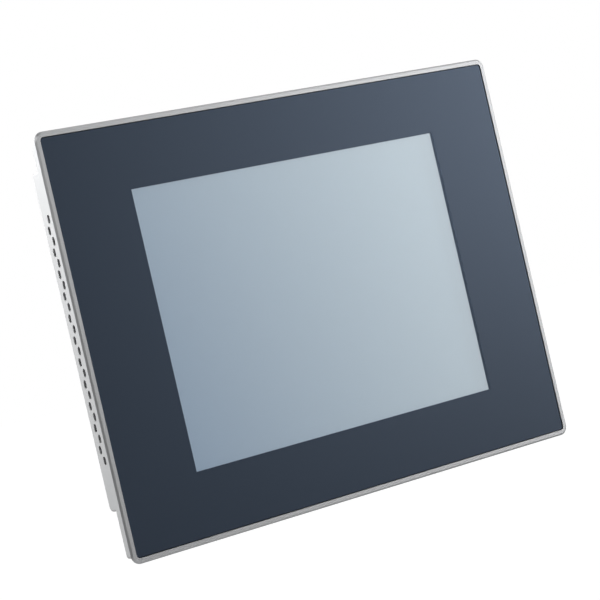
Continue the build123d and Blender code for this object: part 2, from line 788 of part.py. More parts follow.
reset_box = (7.0, 4.5, 5.0)
reset_switch_gap = 0.1
reset_switch_foot = reset_head + reset_travel + reset_switch_gap
with BuildPart() as reset_switch:
    block(
        (reset_x - reset_box[0] / 2, reset_x + reset_box[0] / 2),
        (row_back, reset_depth + reset_box[1] / 2),
        (reset_switch_foot, reset_switch_foot + reset_box[2]),
    )
save(reset_switch, "reset_switch")

# ================================================================ memory card and its slot
card_width, card_length, card_thickness = 42.8, 36.4, 3.3
card_reach = 3.0  # part of the card left outside the cover
card_gap = 0.3
rail = 2.4
slot_floor = 0.9
slot_head = 5.0
slot_mouth_gap = 0.2
slot_lip = 4.0  # each rail's lip over the card's edge
ridge = (20.0, 0.5, 1.2)  # finger ridge: width, height and length
card_corner_r = 0.8
card_front = row_back + slot_floor + card_gap
card_foot = cover_bottom - card_reach
card_head = card_foot + card_length
with BuildPart() as card_slot:
    slot_half = card_width / 2 + card_gap + rail
    slot_z = (cover_bottom + sheet + slot_mouth_gap, card_head + card_gap + slot_head)
    slot_back = card_front + card_thickness + card_gap + slot_floor
    block((card_x - slot_half, card_x + slot_half), (row_back, slot_back), slot_z)
    tunnel = (card_x - card_width / 2 - card_gap, card_x + card_width / 2 + card_gap)
    tunnel_depth = (card_front - card_gap, card_front + card_thickness + card_gap)
    slot_mouth = slot_z[0] - cut_over
    block(tunnel, tunnel_depth, (slot_mouth, card_head + card_gap), mode=Mode.SUBTRACT)
    # the middle of the back wall is open, leaving the two rails' lips
    block(
        (tunnel[0] + slot_lip, tunnel[1] - slot_lip),
        (tunnel_depth[0], slot_back + cut_over),
        (slot_mouth, card_head - slot_lip),
        mode=Mode.SUBTRACT,
    )
save(card_slot, "card_slot")

with BuildPart() as memory_card:
    block(
        (card_x - card_width / 2, card_x + card_width / 2),
        (card_front, card_front + card_thickness),
        (card_foot, card_head),
    )
    fillet(edges().filter_by(Axis.Y), card_corner_r)
    card_back = card_front + card_thickness
    block(
        (card_x - ridge[0] / 2, card_x + ridge[0] / 2),
        (card_back, card_back + ridge[1]),
        (card_foot, card_foot + ridge[2]),
    )
save(memory_card, "memory_card")

# ================================================================ mainboard and what it carries
mainboard_half = 112.0
mainboard_gap = 0.4
mainboard_top = 76.0
mainboard_z = (cover_bottom + sheet + mainboard_gap, mainboard_top)
standoff_points = [(-106.0, -40.0), (106.0, -28.0), (-106.0, 70.0), (106.0, 70.0)]
with BuildPart() as mainboard:
    block((-mainboard_half, mainboard_half), (mainboard_front, mainboard_back), mainboard_z)
    rod(loose_r, (mainboard_front - cut_over, mainboard_back + cut_over), standoff_points, Mode.SUBTRACT)
save(mainboard, "mainboard")

standoff_flats = 5.5
standoff_floor = 0.4
standoff_grip = 4.0  # thread length of a board screw in its standoff
with BuildPart() as board_standoffs:
    with BuildSketch(facing(block_depth)):
        with Locations(*standoff_points):
            RegularPolygon(standoff_flats / 2, 6, major_radius=False)
    extrude(amount=-(mainboard_front - block_depth))
    bore = (block_depth + standoff_floor, mainboard_front + cut_over)
    rod(tapped_r, bore, standoff_points, Mode.SUBTRACT)
save(board_standoffs, "board_standoffs")

with BuildPart() as board_screws:
    back_screws(mainboard_back, mainboard_thickness + standoff_grip, standoff_points)
save(board_screws, "board_screws")

cpu_z = 18.0
cpu_half = 13.0
cpu_height = 2.0
spreader_half = 22.0
pad_thickness = 0.5
cover_inside = rear_depth - sheet
fin_gap = 2.4
fin_count = 7
groove_depth = 9.0
groove_lift = 3.0  # plate left under the grooves
heat_front = mainboard_back + cpu_height
with BuildPart() as processor:
    cpu_span = (cpu_z - cpu_half, cpu_z + cpu_half)
    block((-cpu_half, cpu_half), (mainboard_back, heat_front), cpu_span)
save(processor, "processor")

with BuildPart() as heat_block:
    spreader_z = (cpu_z - spreader_half, cpu_z + spreader_half)
    block((-spreader_half, spreader_half), (heat_front, cover_inside - pad_thickness), spreader_z)
    # upright channels through the block give it its ribs
    with Locations((0, y_at(heat_front + groove_lift + groove_depth / 2), cpu_z)):
        with GridLocations(2 * spreader_half / fin_count, 1, fin_count, 1):
            Box(fin_gap, groove_depth, 3 * spreader_half, mode=Mode.SUBTRACT)
save(heat_block, "heat_block")

with BuildPart() as thermal_pad:
    block((-spreader_half, spreader_half), (cover_inside - pad_thickness, cover_inside), spreader_z)
save(thermal_pad, "thermal_pad")

memory_x = -68.0
memory_half = 33.8
memory_foot = 4.0
memory_height = 30.0
memory_lift = 3.4
memory_thickness = 1.2
memory_slot_z = 6.0
socket_overhang = 2.0
socket_wall = 1.2
socket_mouth = 3.0
socket_gap = (0.1, 0.05)  # round the module's foot, across and through its thickness
chip = (12.0, 1.0, 14.0)
chip_pitch, chip_count, chip_lift = 16.0, 4, 17.0
memory_depth = (mainboard_back + memory_lift, mainboard_back + memory_lift + memory_thickness)
with BuildPart() as memory_socket:
    block(
        (memory_x - memory_half - socket_overhang, memory_x + memory_half + socket_overhang),
        (mainboard_back, memory_depth[1] + socket_wall),
        (memory_foot - memory_slot_z, memory_foot + socket_mouth),
    )
    block(
        (memory_x - memory_half - socket_gap[0], memory_x + memory_half + socket_gap[0]),
        (memory_depth[0] - socket_gap[1], memory_depth[1] + socket_gap[1]),
        (memory_foot, memory_foot + socket_mouth + cut_over),
        mode=Mode.SUBTRACT,
    )
save(memory_socket, "memory_socket")

with BuildPart() as memory_module:
    memory_z = (memory_foot, memory_foot + memory_height)
    block((memory_x - memory_half, memory_x + memory_half), memory_depth, memory_z)
    with Locations((memory_x, y_at(memory_depth[1] + chip[1] / 2), memory_foot + chip_lift)):
        with GridLocations(chip_pitch, 1, chip_count, 1):
            Box(*chip)
save(memory_module, "memory_module")

battery_x, battery_z = 78.0, 22.0
battery_r, battery_thickness = 10.0, 3.2
cup_r, cup_floor, cup_rim = 12.0, 1.0, 3.6
cup_notch_width, cup_notch_foot = 8.0, 5.0
battery_edge_r = 0.8
with BuildPart() as battery_holder:
    rod(cup_r, (mainboard_back, mainboard_back + cup_floor + cup_rim), [(battery_x, battery_z)])
    cup = (mainboard_back + cup_floor, mainboard_back + cup_floor + cup_rim + cut_over)
    rod(battery_r + fit, cup, [(battery_x, battery_z)], Mode.SUBTRACT)
    notch_x = (battery_x - cup_notch_width / 2, battery_x + cup_notch_width / 2)
    notch_z = (battery_z + cup_notch_foot, battery_z + cup_r + cut_over)
    block(notch_x, cup, notch_z, mode=Mode.SUBTRACT)
save(battery_holder, "battery_holder")

with BuildPart() as battery:
    cell = (mainboard_back + cup_floor, mainboard_back + cup_floor + battery_thickness)
    rod(battery_r, cell, [(battery_x, battery_z)])
    fillet(edges().filter_by(GeomType.CIRCLE).group_by(Axis.Y)[0], battery_edge_r)
save(battery, "battery")

# ================================================================ rear cover
door_half_width, door_height = 18.0, 38.0
door_thickness = 2.4
door_gap = 0.4
door_top = battery_z + door_height / 2
hinge_depth = rear_depth - door_thickness / 2
hinge_z = door_top - door_thickness / 2
hinge_pin_r = 0.7
hinge_gap = 0.06
hinge_stub = 1.8
ear_sheet = 2.0
ear_half_height = 2.2
ear_reach = 2.6
door_notch = (12.0, 1.2, 4.0)  # finger notch: width, depth and height
slot_width, slot_length, slot_pitch, slot_count = 3.0, 26.0, 7.0, 8
slot_centres = [(-82.0, 40.0), (-82.0, -26.0)]
top_slot_count, top_slot_pitch, top_slot_length = 22, 9.1, 12.0
cover_flange_r = 3.0
card_cut_margin = (0.5, 0.75)  # round the card in its cut-out, across and through
insert_points = [(sx * vesa_spacing / 2, sz * vesa_spacing / 2) for sx in (-1, 1) for sz in (-1, 1)]
insert_flange_r = 4.0
insert_flange = 1.0
insert_body_r = 3.1
insert_shank_r = 2.7
insert_length = 6.0
earth_depth, earth_z = 32.0, -55.0
earth_r = 2.0
earth_gap = 0.15

with BuildPart() as rear_cover:
    tall = (cover_bottom, cover_top)
    block((-cover_half_width, cover_half_width), (block_depth, rear_depth), tall)
    back_rim = faces().sort_by(Axis.Y)[-1].edges()
    fillet(back_rim, cover_bend_r)
    flange_x = cover_half_width + cover_flange
    flange_z = (cover_bottom - cover_flange, cover_top + cover_flange)
    block((-flange_x, flange_x), (block_depth, block_depth + sheet), flange_z)
    flange_corners = edges().filter_by(Axis.Y).filter_by(lambda e: abs(e.center().X) > flange_x - 0.1)
    fillet(flange_corners, cover_flange_r)
    block(
        (-cover_half_width + sheet, cover_half_width - sheet),
        (block_depth - cut_over, rear_depth - sheet),
        (cover_bottom + sheet, cover_top - sheet),
        mode=Mode.SUBTRACT,
    )
    rod(loose_r, (block_depth - pierce, block_depth + pierce), cover_screw_points, Mode.SUBTRACT)
    back_sheet = (cover_inside - cut_over, rear_depth + cut_over)
    rod(insert_shank_r + screw_clearance, back_sheet, insert_points, Mode.SUBTRACT)
    # vertical slots in the back, left of the mounting pattern, and a row in the top
    for centre_x, centre_z in slot_centres:
        with BuildSketch(Plane.XZ):
            with Locations((centre_x, centre_z)):
                with GridLocations(slot_pitch, 1, slot_count, 1):
                    SlotOverall(slot_length, slot_width, rotation=90)
        extrude(amount=pierce, both=True, mode=Mode.SUBTRACT)
    with BuildSketch(Plane.XY.offset(cover_top)):
        with Locations((0, y_at((block_depth + rear_depth) / 2))):
            with GridLocations(top_slot_pitch, 1, top_slot_count, 1):
                SlotOverall(top_slot_length, slot_width, rotation=90)
    extrude(amount=pierce, both=True, mode=Mode.SUBTRACT)
    # battery door opening, with an ear each side for the door's pin
    block(
        (battery_x - door_half_width - door_gap, battery_x + door_half_width + door_gap),
        back_sheet,
        (door_top - door_height - door_gap, door_top + door_gap),
        mode=Mode.SUBTRACT,
    )
    for side in (-1, 1):
        ear = battery_x + side * (door_half_width + door_gap)
        block(
            (ear, ear + side * ear_sheet),
            (cover_inside - ear_reach, cover_inside + sheet / 2),
            (hinge_z - ear_half_height, hinge_z + ear_half_height),
        )
    pin_reach = door_half_width + door_gap + ear_sheet + cut_over
    crosswise(
        hinge_pin_r + hinge_gap,
        (battery_x - pin_reach, battery_x + pin_reach),
        [(hinge_depth, hinge_z)],
        Mode.SUBTRACT,
    )
    # connector cut-outs in the bottom
    bottom = (cover_bottom - pierce, cover_bottom + pierce)
    cuts = [(x, lan_width, row_back, lan_height) for x in lan_x]
    cuts += [(x, usb_width, row_back, usb_height) for x in usb_x]
    cuts += [(power_x, header_width, row_back, header_height)]
    across, through = card_cut_margin
    cuts += [(card_x, card_width + 2 * across, card_front - through, card_thickness + 2 * through)]
    cuts += [(switch_x, 2 * switch_half[0], switch_depth - switch_half[1], 2 * switch_half[1])]
    for x, width, front, height in cuts:
        block(
            (x - width / 2 - fit, x + width / 2 + fit),
            (front - fit, front + height + fit),
            bottom,
            mode=Mode.SUBTRACT,
        )
    with BuildSketch(Plane.XY.offset(cover_bottom)) as shell_cut:
        Polygon(*shell_outline(fit), align=None)
        fillet(shell_cut.vertices(), shell_r)
    extrude(amount=pierce, both=True, mode=Mode.SUBTRACT)
    upright(stud_bore_r, bottom, stud_points, Mode.SUBTRACT)
    upright(reset_hole_r, bottom, [(reset_x, reset_depth)], Mode.SUBTRACT)
    left_wall = (-cover_half_width - pierce, -cover_half_width + pierce)
    crosswise(earth_r + earth_gap, left_wall, [(earth_depth, earth_z)], Mode.SUBTRACT)
save(rear_cover, "rear_cover")

with BuildPart() as cover_screws:
    back_screws(block_depth + sheet, 2 * sheet, cover_screw_points)
save(cover_screws, "cover_screws")

with BuildPart() as mounting_inserts:
    rod(insert_shank_r, (cover_inside, rear_depth), insert_points)
    rod(insert_flange_r, (cover_inside - insert_flange, cover_inside), insert_points)
    rod(insert_body_r, (cover_inside - insert_length, cover_inside), insert_points)
    insert_bore = (cover_inside - insert_length - cut_over, rear_depth + cut_over)
    rod(insert_bore_r, insert_bore, insert_points, Mode.SUBTRACT)
save(mounting_inserts, "mounting_inserts")

with BuildPart() as battery_door:
    left, right = battery_x - door_half_width, battery_x + door_half_width
    block((left, right), (rear_depth - door_thickness, rear_depth), (door_top - door_height, hinge_z))
    crosswise(door_thickness / 2, (left, right), [(hinge_depth, hinge_z)])
    crosswise(hinge_pin_r, (left - hinge_stub, right + hinge_stub), [(hinge_depth, hinge_z)])
    # finger notch in the free edge
    door_foot = door_top - door_height
    block(
        (battery_x - door_notch[0] / 2, battery_x + door_notch[0] / 2),
        (rear_depth - door_notch[1], rear_depth + cut_over),
        (door_foot - cut_over, door_foot + door_notch[2]),
        mode=Mode.SUBTRACT,
    )
save(battery_door, "battery_door")

# ================================================================ earth stud on the left wall
earth_free = 7.0  # threaded end outside the collar, which takes the earth wire's ring
earth_flats, earth_collar = 7.0, 2.4
earth_tail = 1.0  # the inner end beyond its nut
washer_r, washer = 4.5, 0.8
nut = 3.2
cover_left = -cover_half_width
inner_left = cover_left + sheet
nut_end = inner_left + washer + nut
earth_point = [(earth_depth, earth_z)]


def hexagon_plane(x):
    """Plane across the earth stud's axis at x; a positive extrusion runs to the right."""
    return Plane(origin=(x, y_at(earth_depth), earth_z), x_dir=(0, 1, 0), z_dir=(1, 0, 0))


with BuildPart() as earth_stud:
    collar_left = cover_left - earth_collar
    with BuildSketch(hexagon_plane(collar_left)):
        RegularPolygon(earth_flats / 2, 6, major_radius=False)
    extrude(amount=earth_collar)
    crosswise(earth_r, (collar_left - earth_free, collar_left), earth_point)
    crosswise(earth_r, (cover_left, nut_end + earth_tail), earth_point)
save(earth_stud, "earth_stud")

with BuildPart() as earth_nut:
    crosswise(washer_r, (inner_left, inner_left + washer), earth_point)
    with BuildSketch(hexagon_plane(inner_left + washer)):
        RegularPolygon(earth_flats / 2, 6, major_radius=False)
    extrude(amount=nut)
    earth_bore = (inner_left - cut_over, nut_end + cut_over)
    crosswise(earth_r + screw_clearance, earth_bore, earth_point, Mode.SUBTRACT)
save(earth_nut, "earth_nut")
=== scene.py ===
"""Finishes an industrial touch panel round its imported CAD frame: materials for every piece, the
small parts that repeat, and a plain studio. All lengths are metres in the frame's own axes: X to
the right as the user sees the screen, Y to the back, Z up."""

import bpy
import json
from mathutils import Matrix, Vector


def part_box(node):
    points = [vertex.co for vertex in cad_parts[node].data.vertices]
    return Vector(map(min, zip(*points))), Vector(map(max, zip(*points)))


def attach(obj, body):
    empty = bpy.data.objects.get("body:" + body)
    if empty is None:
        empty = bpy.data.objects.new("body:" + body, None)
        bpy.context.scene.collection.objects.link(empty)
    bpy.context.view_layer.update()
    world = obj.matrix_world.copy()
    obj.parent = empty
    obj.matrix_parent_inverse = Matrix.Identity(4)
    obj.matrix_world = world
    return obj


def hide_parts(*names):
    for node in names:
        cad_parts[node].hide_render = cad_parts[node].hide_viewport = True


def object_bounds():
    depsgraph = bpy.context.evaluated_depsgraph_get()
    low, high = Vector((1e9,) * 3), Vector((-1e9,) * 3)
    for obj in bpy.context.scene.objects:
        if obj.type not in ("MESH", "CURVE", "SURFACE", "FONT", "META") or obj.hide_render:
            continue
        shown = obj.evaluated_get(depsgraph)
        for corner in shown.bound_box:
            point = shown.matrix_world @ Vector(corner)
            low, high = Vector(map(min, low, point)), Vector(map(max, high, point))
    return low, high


bl_info = {
    "name": "Touch Panel Finish",
    "version": (1, 0, 0),
    "blender": (4, 5, 0),
    "location": "View3D > Sidebar > Touch Panel",
    "description": "Finishes the pieces of an industrial touch panel and sets up a plain studio",
    "category": "Object",
}

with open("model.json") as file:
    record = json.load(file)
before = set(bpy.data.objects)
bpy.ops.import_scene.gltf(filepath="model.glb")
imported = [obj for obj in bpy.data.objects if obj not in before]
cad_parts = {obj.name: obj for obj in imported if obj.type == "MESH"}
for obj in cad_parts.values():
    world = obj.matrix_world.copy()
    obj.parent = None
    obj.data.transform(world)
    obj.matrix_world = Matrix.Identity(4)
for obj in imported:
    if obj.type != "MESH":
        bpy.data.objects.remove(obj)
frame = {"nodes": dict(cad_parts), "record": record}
cad_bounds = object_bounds()

import json
import math

import bmesh
import bpy
from mathutils import Matrix, Vector

MM = 0.001
NODES = frame["nodes"]
SLOTS = {part["node"]: part["material_slot"] for part in frame["record"]["subparts"]}

# studio: the camera's place is measured from the middle of the glass's front
CAMERA_LENS = 123.36
CAMERA_PLACE = (-0.6603, -0.9762, 0.0061)
CAMERA_RIGHT = (0.8118, -0.5386, -0.2257)
CAMERA_FORWARD = (0.5517, 0.8340, -0.0058)

# the room's light: a base level, and broad glows given as direction, sharpness and strength
WORLD_BASE = 0.08
WORLD_GLOWS = [
    ((0.86, -0.51, 0.05), 46.0, 8.15),
    ((0.75, 0.62, 0.25), 2.0, 0.42),
    ((0.56, -0.05, 0.83), 26.0, 0.9),
]

# each lamp: name, place, aim, width and height, and power in watts
LAMPS = [("side_softbox", (-0.44, 0.09, 0.28), (-0.15, -0.03, -0.11), (0.3, 0.3), 3.25)]
FLOOR_HALF = 12.0
FLOOR_WHITE_SHARE = 0.8  # how much of the floor that the camera sees is plain white
FLOOR_WHITE = 1.19


# ------------------------ small helpers
class Output:
    """A node's output, on which sums read as plain arithmetic, each adding a node to its tree."""

    def __init__(self, socket):
        self.socket = socket

    def __add__(self, other):
        return calc("ADD", self, other)

    def __sub__(self, other):
        return calc("SUBTRACT", self, other)

    def __rsub__(self, other):
        return calc("SUBTRACT", other, self)

    def __mul__(self, other):
        return calc("MULTIPLY", self, other)

    def __truediv__(self, other):
        return calc("DIVIDE", self, other)

    def __mod__(self, other):
        return calc("MODULO", self, other)

    def __lt__(self, other):
        return calc("LESS_THAN", self, other)

    def __gt__(self, other):
        return calc("GREATER_THAN", self, other)

    def __abs__(self):
        return calc("ABSOLUTE", self)


def calc(operation, first, second=0.0):
    """Result of one sum on two numbers, at least one of them an output."""
    tree = (first if isinstance(first, Output) else second).socket.id_data
    return add_node(tree, "ShaderNodeMath", {0: first, 1: second}, operation=operation)


def wire(node, inputs):
    """Sets input sockets of a node, or links them to an output or to each output in a list. A tuple
    may hold outputs among its numbers."""
    tree = node.id_data
    for name, source in inputs.items():
        if isinstance(source, tuple) and any(isinstance(part, Output) for part in source):
            source = add_node(tree, "ShaderNodeCombineXYZ", dict(enumerate(source)))
        if isinstance(source, (Output, list)):
            for part in source if isinstance(source, list) else [source]:
                tree.links.new(part.socket, node.inputs[name])
        else:
            node.inputs[name].default_value = source


def add_node(tree, kind, inputs=None, output=0, **settings):
    """Adds a node with its settings and links, and gives one of its outputs, the first if it has
    any and none is asked for."""
    node = tree.nodes.new(kind)
    for key, value in settings.items():
        setattr(node, key, value)
    wire(node, inputs or {})
    return Output(node.outputs[output]) if node.outputs else None


def linear(hex_code):
    """Linear RGBA of an sRGB hex colour."""
    channels = [int(hex_code[i : i + 2], 16) / 255 for i in (1, 3, 5)]
    low = [c / 12.92 if c <= 0.04045 else ((c + 0.055) / 1.055) ** 2.4 for c in channels]
    return (*low, 1.0)


def as_colour(value):
    """An output as it is, or linear RGBA of a hex colour or of a colour setting."""
    if isinstance(value, Output):
        return value
    return linear(value) if isinstance(value, str) else (*value, 1.0)


def box_middle(node):
    low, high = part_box(node)
    return (low + high) / 2


# ------------------------ parts of materials
def empty_tree(owner):
    """The cleared node tree of a material or a world."""
    owner.use_nodes = True
    owner.node_tree.nodes.clear()
    return owner.node_tree


def start_material(name, **values):
    """A material with one Principled shader, its sockets set from real-world constants."""
    material = bpy.data.materials.new(name)
    tree = empty_tree(material)
    shader = add_node(tree, "ShaderNodeBsdfPrincipled")
    feed(shader, **values)
    add_node(tree, "ShaderNodeOutputMaterial", {"Surface": shader})
    return material, tree, shader


def feed(shader, **sources):
    """Sets or links a shader's sockets, whose names have spaces for the underscores."""
    wire(shader.socket.node, {name.replace("_", " "): source for name, source in sources.items()})


def split_axes(tree, place):
    """The three axes of a place."""
    node = add_node(tree, "ShaderNodeSeparateXYZ", {0: place}).socket.node
    return [Output(socket) for socket in node.outputs]


def grain(tree, size_mm, stretch=(1, 1, 1), detail=3.0):
    """Noise whose features are size_mm across on the object, stretched along its axes."""
    place = add_node(tree, "ShaderNodeTexCoord", output="Object")
    mapped = add_node(tree, "ShaderNodeMapping", {"Vector": place, "Scale": stretch})
    look = {"Scale": 1 / (size_mm * MM), "Detail": detail, "Roughness": 0.6}
    return add_node(tree, "ShaderNodeTexNoise", {"Vector": mapped, **look}, "Fac")


def spread(tree, value, low, high):
    """Maps a 0 to 1 value into the range low to high."""
    return add_node(tree, "ShaderNodeMapRange", {"Value": value, "To Min": low, "To Max": high})


def tint(tree, factor, first, second):
    """Colour between two colours, as outputs, hex codes or settings."""
    ends = {6: as_colour(first), 7: as_colour(second)}
    return add_node(tree, "ShaderNodeMix", {0: factor, **ends}, 2, data_type="RGBA")


def emboss(tree, shader, height, depth_mm):
    """Bump of depth_mm on the shader's normal."""
    feed(shader, Normal=add_node(tree, "ShaderNodeBump", {"Height": height, "Distance": depth_mm * MM}))


def clear_pane(tree, ior, through, reflected, roughness):
    """Clear glass with a gloss on its outer faces only; inner faces let everything through."""
    fresnel = add_node(tree, "ShaderNodeFresnel", {"IOR": ior})
    gloss_share = fresnel * (1.0 - add_node(tree, "ShaderNodeNewGeometry", output="Backfacing"))
    clear = add_node(tree, "ShaderNodeBsdfTransparent", {"Color": linear(through)})
    satin = {"Color": linear(reflected), "Roughness": roughness}
    gloss = add_node(tree, "ShaderNodeBsdfGlossy", satin)
    return add_node(tree, "ShaderNodeMixShader", {0: gloss_share, 1: clear, 2: gloss})


# ------------------------ shapes that repeat
def start_tree(name, **inputs):
    """A Geometry Nodes tree with a mesh in and out, and a named input for each size or count."""
    tree = bpy.data.node_groups.new(name, "GeometryNodeTree")
    tree.interface.new_socket("Geometry", in_out="INPUT", socket_type="NodeSocketGeometry")
    for label, value in inputs.items():
        kind = "NodeSocketInt" if isinstance(value, int) else "NodeSocketFloat"
        socket = tree.interface.new_socket(label, in_out="INPUT", socket_type=kind)
        socket.default_value = value
    tree.interface.new_socket("Geometry", in_out="OUTPUT", socket_type="NodeSocketGeometry")
    entry = tree.nodes.new("NodeGroupInput")
    return tree, {socket.name: Output(socket) for socket in entry.outputs}


def end_tree(tree, geometry, finish):
    """Makes the instances real, gives them their finish and passes them out."""
    real = add_node(tree, "GeometryNodeRealizeInstances", {"Geometry": geometry})
    finished = add_node(tree, "GeometryNodeSetMaterial", {"Geometry": real, "Material": finish})
    add_node(tree, "NodeGroupOutput", {0: finished})
    return tree


def moved(tree, geometry, *offset):
    """Geometry with an offset, whose parts may be fields, added to its positions."""
    return add_node(tree, "GeometryNodeSetPosition", {"Geometry": geometry, "Offset": offset})


def in_row(tree, piece, count, step, start=(0, 0, 0)):
    """The piece repeated along a straight row."""
    inputs = {"Count": count, "Start Location": start, "Offset": step}
    line = add_node(tree, "GeometryNodeMeshLine", inputs)
    return add_node(tree, "GeometryNodeInstanceOnPoints", {"Points": line, "Instance": piece})


def on_facing_points(tree, points, piece):
    """The piece at each point, its Z turned to the axis that is stored there."""
    axis = add_node(tree, "GeometryNodeInputNamedAttribute", {"Name": "axis"}, data_type="FLOAT_VECTOR")
    turn = add_node(tree, "FunctionNodeAlignRotationToVector", {"Vector": axis}, axis="Z")
    inputs = {"Points": points, "Instance": piece, "Rotation": turn}
    return add_node(tree, "GeometryNodeInstanceOnPoints", inputs)


def grow(name, tree, mesh, slot, body="chassis", **values):
    """Runs a tree on a mesh and leaves one plain mesh, which moves with its body."""
    piece = bpy.data.objects.new(name, mesh)
    bpy.context.scene.collection.objects.link(piece)
    modifier = piece.modifiers.new("shape", "NODES")
    modifier.node_group = tree
    sockets = {item.name: item.identifier for item in tree.interface.items_tree if item.in_out == "INPUT"}
    for label, value in values.items():
        modifier[sockets[label]] = value
    graph = bpy.context.evaluated_depsgraph_get()
    plain = bpy.data.meshes.new_from_object(piece.evaluated_get(graph))
    piece.modifiers.remove(modifier)
    piece.data = plain
    if not plain.polygons:
        raise RuntimeError(f"{name} has no faces")
    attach(piece, body)
    return piece


def grow_at(name, tree, places, slot, axes=(0, 0, 1), **values):
    """Runs a tree on loose points, whose pieces all face one way or each its own."""
    mesh = bpy.data.meshes.new(f"{name}_points")
    mesh.from_pydata([tuple(place) for place in places], [], [])
    stored = mesh.attributes.new("axis", "FLOAT_VECTOR", "POINT")
    for item, axis in zip(stored.data, [axes] * len(places) if isinstance(axes, tuple) else axes):
        item.vector = axis
    return grow(name, tree, mesh, slot, **values)


def separate_boxes(node):
    """Lowest and highest corners of each separate solid in a CAD node."""
    shape = bmesh.new()
    shape.from_mesh(NODES[node].data)
    bmesh.ops.remove_doubles(shape, verts=shape.verts, dist=1e-6)
    left = set(shape.verts)
    boxes = []
    while left:
        batch = [left.pop()]
        solid = list(batch)
        while batch:
            linked = {edge.other_vert(vert) for vert in batch for edge in vert.link_edges} & left
            left -= linked
            batch = list(linked)
            solid += batch
        low = Vector([min(vert.co[i] for vert in solid) for i in range(3)])
        high = Vector([max(vert.co[i] for vert in solid) for i in range(3)])
        boxes.append((low, high))
    shape.free()
    return sorted(boxes, key=lambda box: tuple(box[0]))


# shares of a screw's own sizes
DOME_DROP = 0.45  # of the head's height, at its rim
BLADE_THICKNESS = 0.26  # of the recess's width
BLADE_TAPER = 0.6  # of the recess's width, from its foot to its top
BLADE_LIFT = 0.92  # of the head's height
THREAD_DEPTH = 0.12  # of the shank's radius
CARVE = {"operation": "DIFFERENCE", "solver": "EXACT"}


def screw_tree(finish):
    """Pan-head screw with a tapered cross recess; the thread is rings, a little coarser than real."""
    tree, size = start_tree(
        "pan_head_screw", head_radius=2.75 * MM, head_height=1.9 * MM, recess_width=2.9 * MM,
        shank_radius=1.2 * MM, shank_length=5.5 * MM, thread_pitch=0.5 * MM,
    )
    x, y, z = split_axes(tree, add_node(tree, "GeometryNodeInputPosition"))
    radius, height, length = size["head_radius"], size["head_height"], size["shank_length"]
    blank = {"Vertices": 32, "Side Segments": 2, "Fill Segments": 6, "Radius": radius, "Depth": height}
    head = add_node(tree, "GeometryNodeMeshCylinder", blank)
    out = (x * x + y * y) / (radius * radius)
    level = z / height + 0.5
    domed = moved(tree, head, 0, 0, out * out * level * height * -DOME_DROP)
    domed = moved(tree, domed, 0, 0, height * 0.5)
    wide = size["recess_width"]
    thin = wide * BLADE_THICKNESS
    taper = (level - 0.5) * BLADE_TAPER
    blades = []
    for spans in ((wide, thin, height), (thin, wide, height)):
        blade = add_node(tree, "GeometryNodeMeshCube", {"Size": spans})
        tapered = moved(tree, blade, x * taper, y * taper, 0)
        blades.append(moved(tree, tapered, 0, 0, height * BLADE_LIFT))
    recessed = add_node(tree, "GeometryNodeMeshBoolean", {0: domed, 1: blades}, **CARVE)
    steps = calc("ROUND", length * 2.0 / size["thread_pitch"])
    rod = {"Vertices": 16, "Side Segments": steps, "Radius": size["shank_radius"], "Depth": length}
    shank = add_node(tree, "GeometryNodeMeshCylinder", rod)
    ring = calc("ROUND", (z + length) / (length / steps))
    inward = abs(ring % 2.0) * -THREAD_DEPTH
    ringed = moved(tree, moved(tree, shank, x * inward, y * inward, 0), 0, 0, length * -0.5)
    screw = add_node(tree, "GeometryNodeJoinGeometry", {0: [recessed, ringed]})
    return end_tree(tree, on_facing_points(tree, size["Geometry"], screw), finish)


def contact_tree(finish):
    """Rows of sprung contacts: thin strips side by side along X, each bowed towards its inner end."""
    tree, size = start_tree(
        "sprung_contacts", count=8, pitch=1.02 * MM, width=0.42 * MM, thickness=0.2 * MM,
        length=8.5 * MM, bow=-2.0 * MM,
    )
    z = split_axes(tree, add_node(tree, "GeometryNodeInputPosition"))[2]
    extent = (size["width"], size["thickness"], size["length"])
    strip = add_node(tree, "GeometryNodeMeshCube", {"Size": extent, "Vertices Z": 9})
    share = z / size["length"] + 0.5
    bent = moved(tree, strip, 0, share * share * size["bow"], 0)
    first = size["pitch"] * (size["count"] - 1.0) * -0.5
    strips = in_row(tree, bent, size["count"], (size["pitch"], 0, 0), (first, 0, 0))
    rows = {"Points": size["Geometry"], "Instance": strips}
    return end_tree(tree, add_node(tree, "GeometryNodeInstanceOnPoints", rows), finish)


def thread_tree(finish):
    """Thread drawn as rings along each point's axis."""
    tree, size = start_tree("thread_rings", radius=2.0 * MM, ridge=0.14 * MM, pitch=0.7 * MM, count=9)
    circle, edge = (
        add_node(tree, "GeometryNodeCurvePrimitiveCircle", {"Resolution": sides, "Radius": size[name]})
        for sides, name in ((28, "radius"), (4, "ridge"))
    )
    ring = add_node(tree, "GeometryNodeCurveToMesh", {"Curve": circle, "Profile Curve": edge})
    rings = in_row(tree, ring, size["count"], (0, 0, size["pitch"]))
    return end_tree(tree, on_facing_points(tree, size["Geometry"], rings), finish)


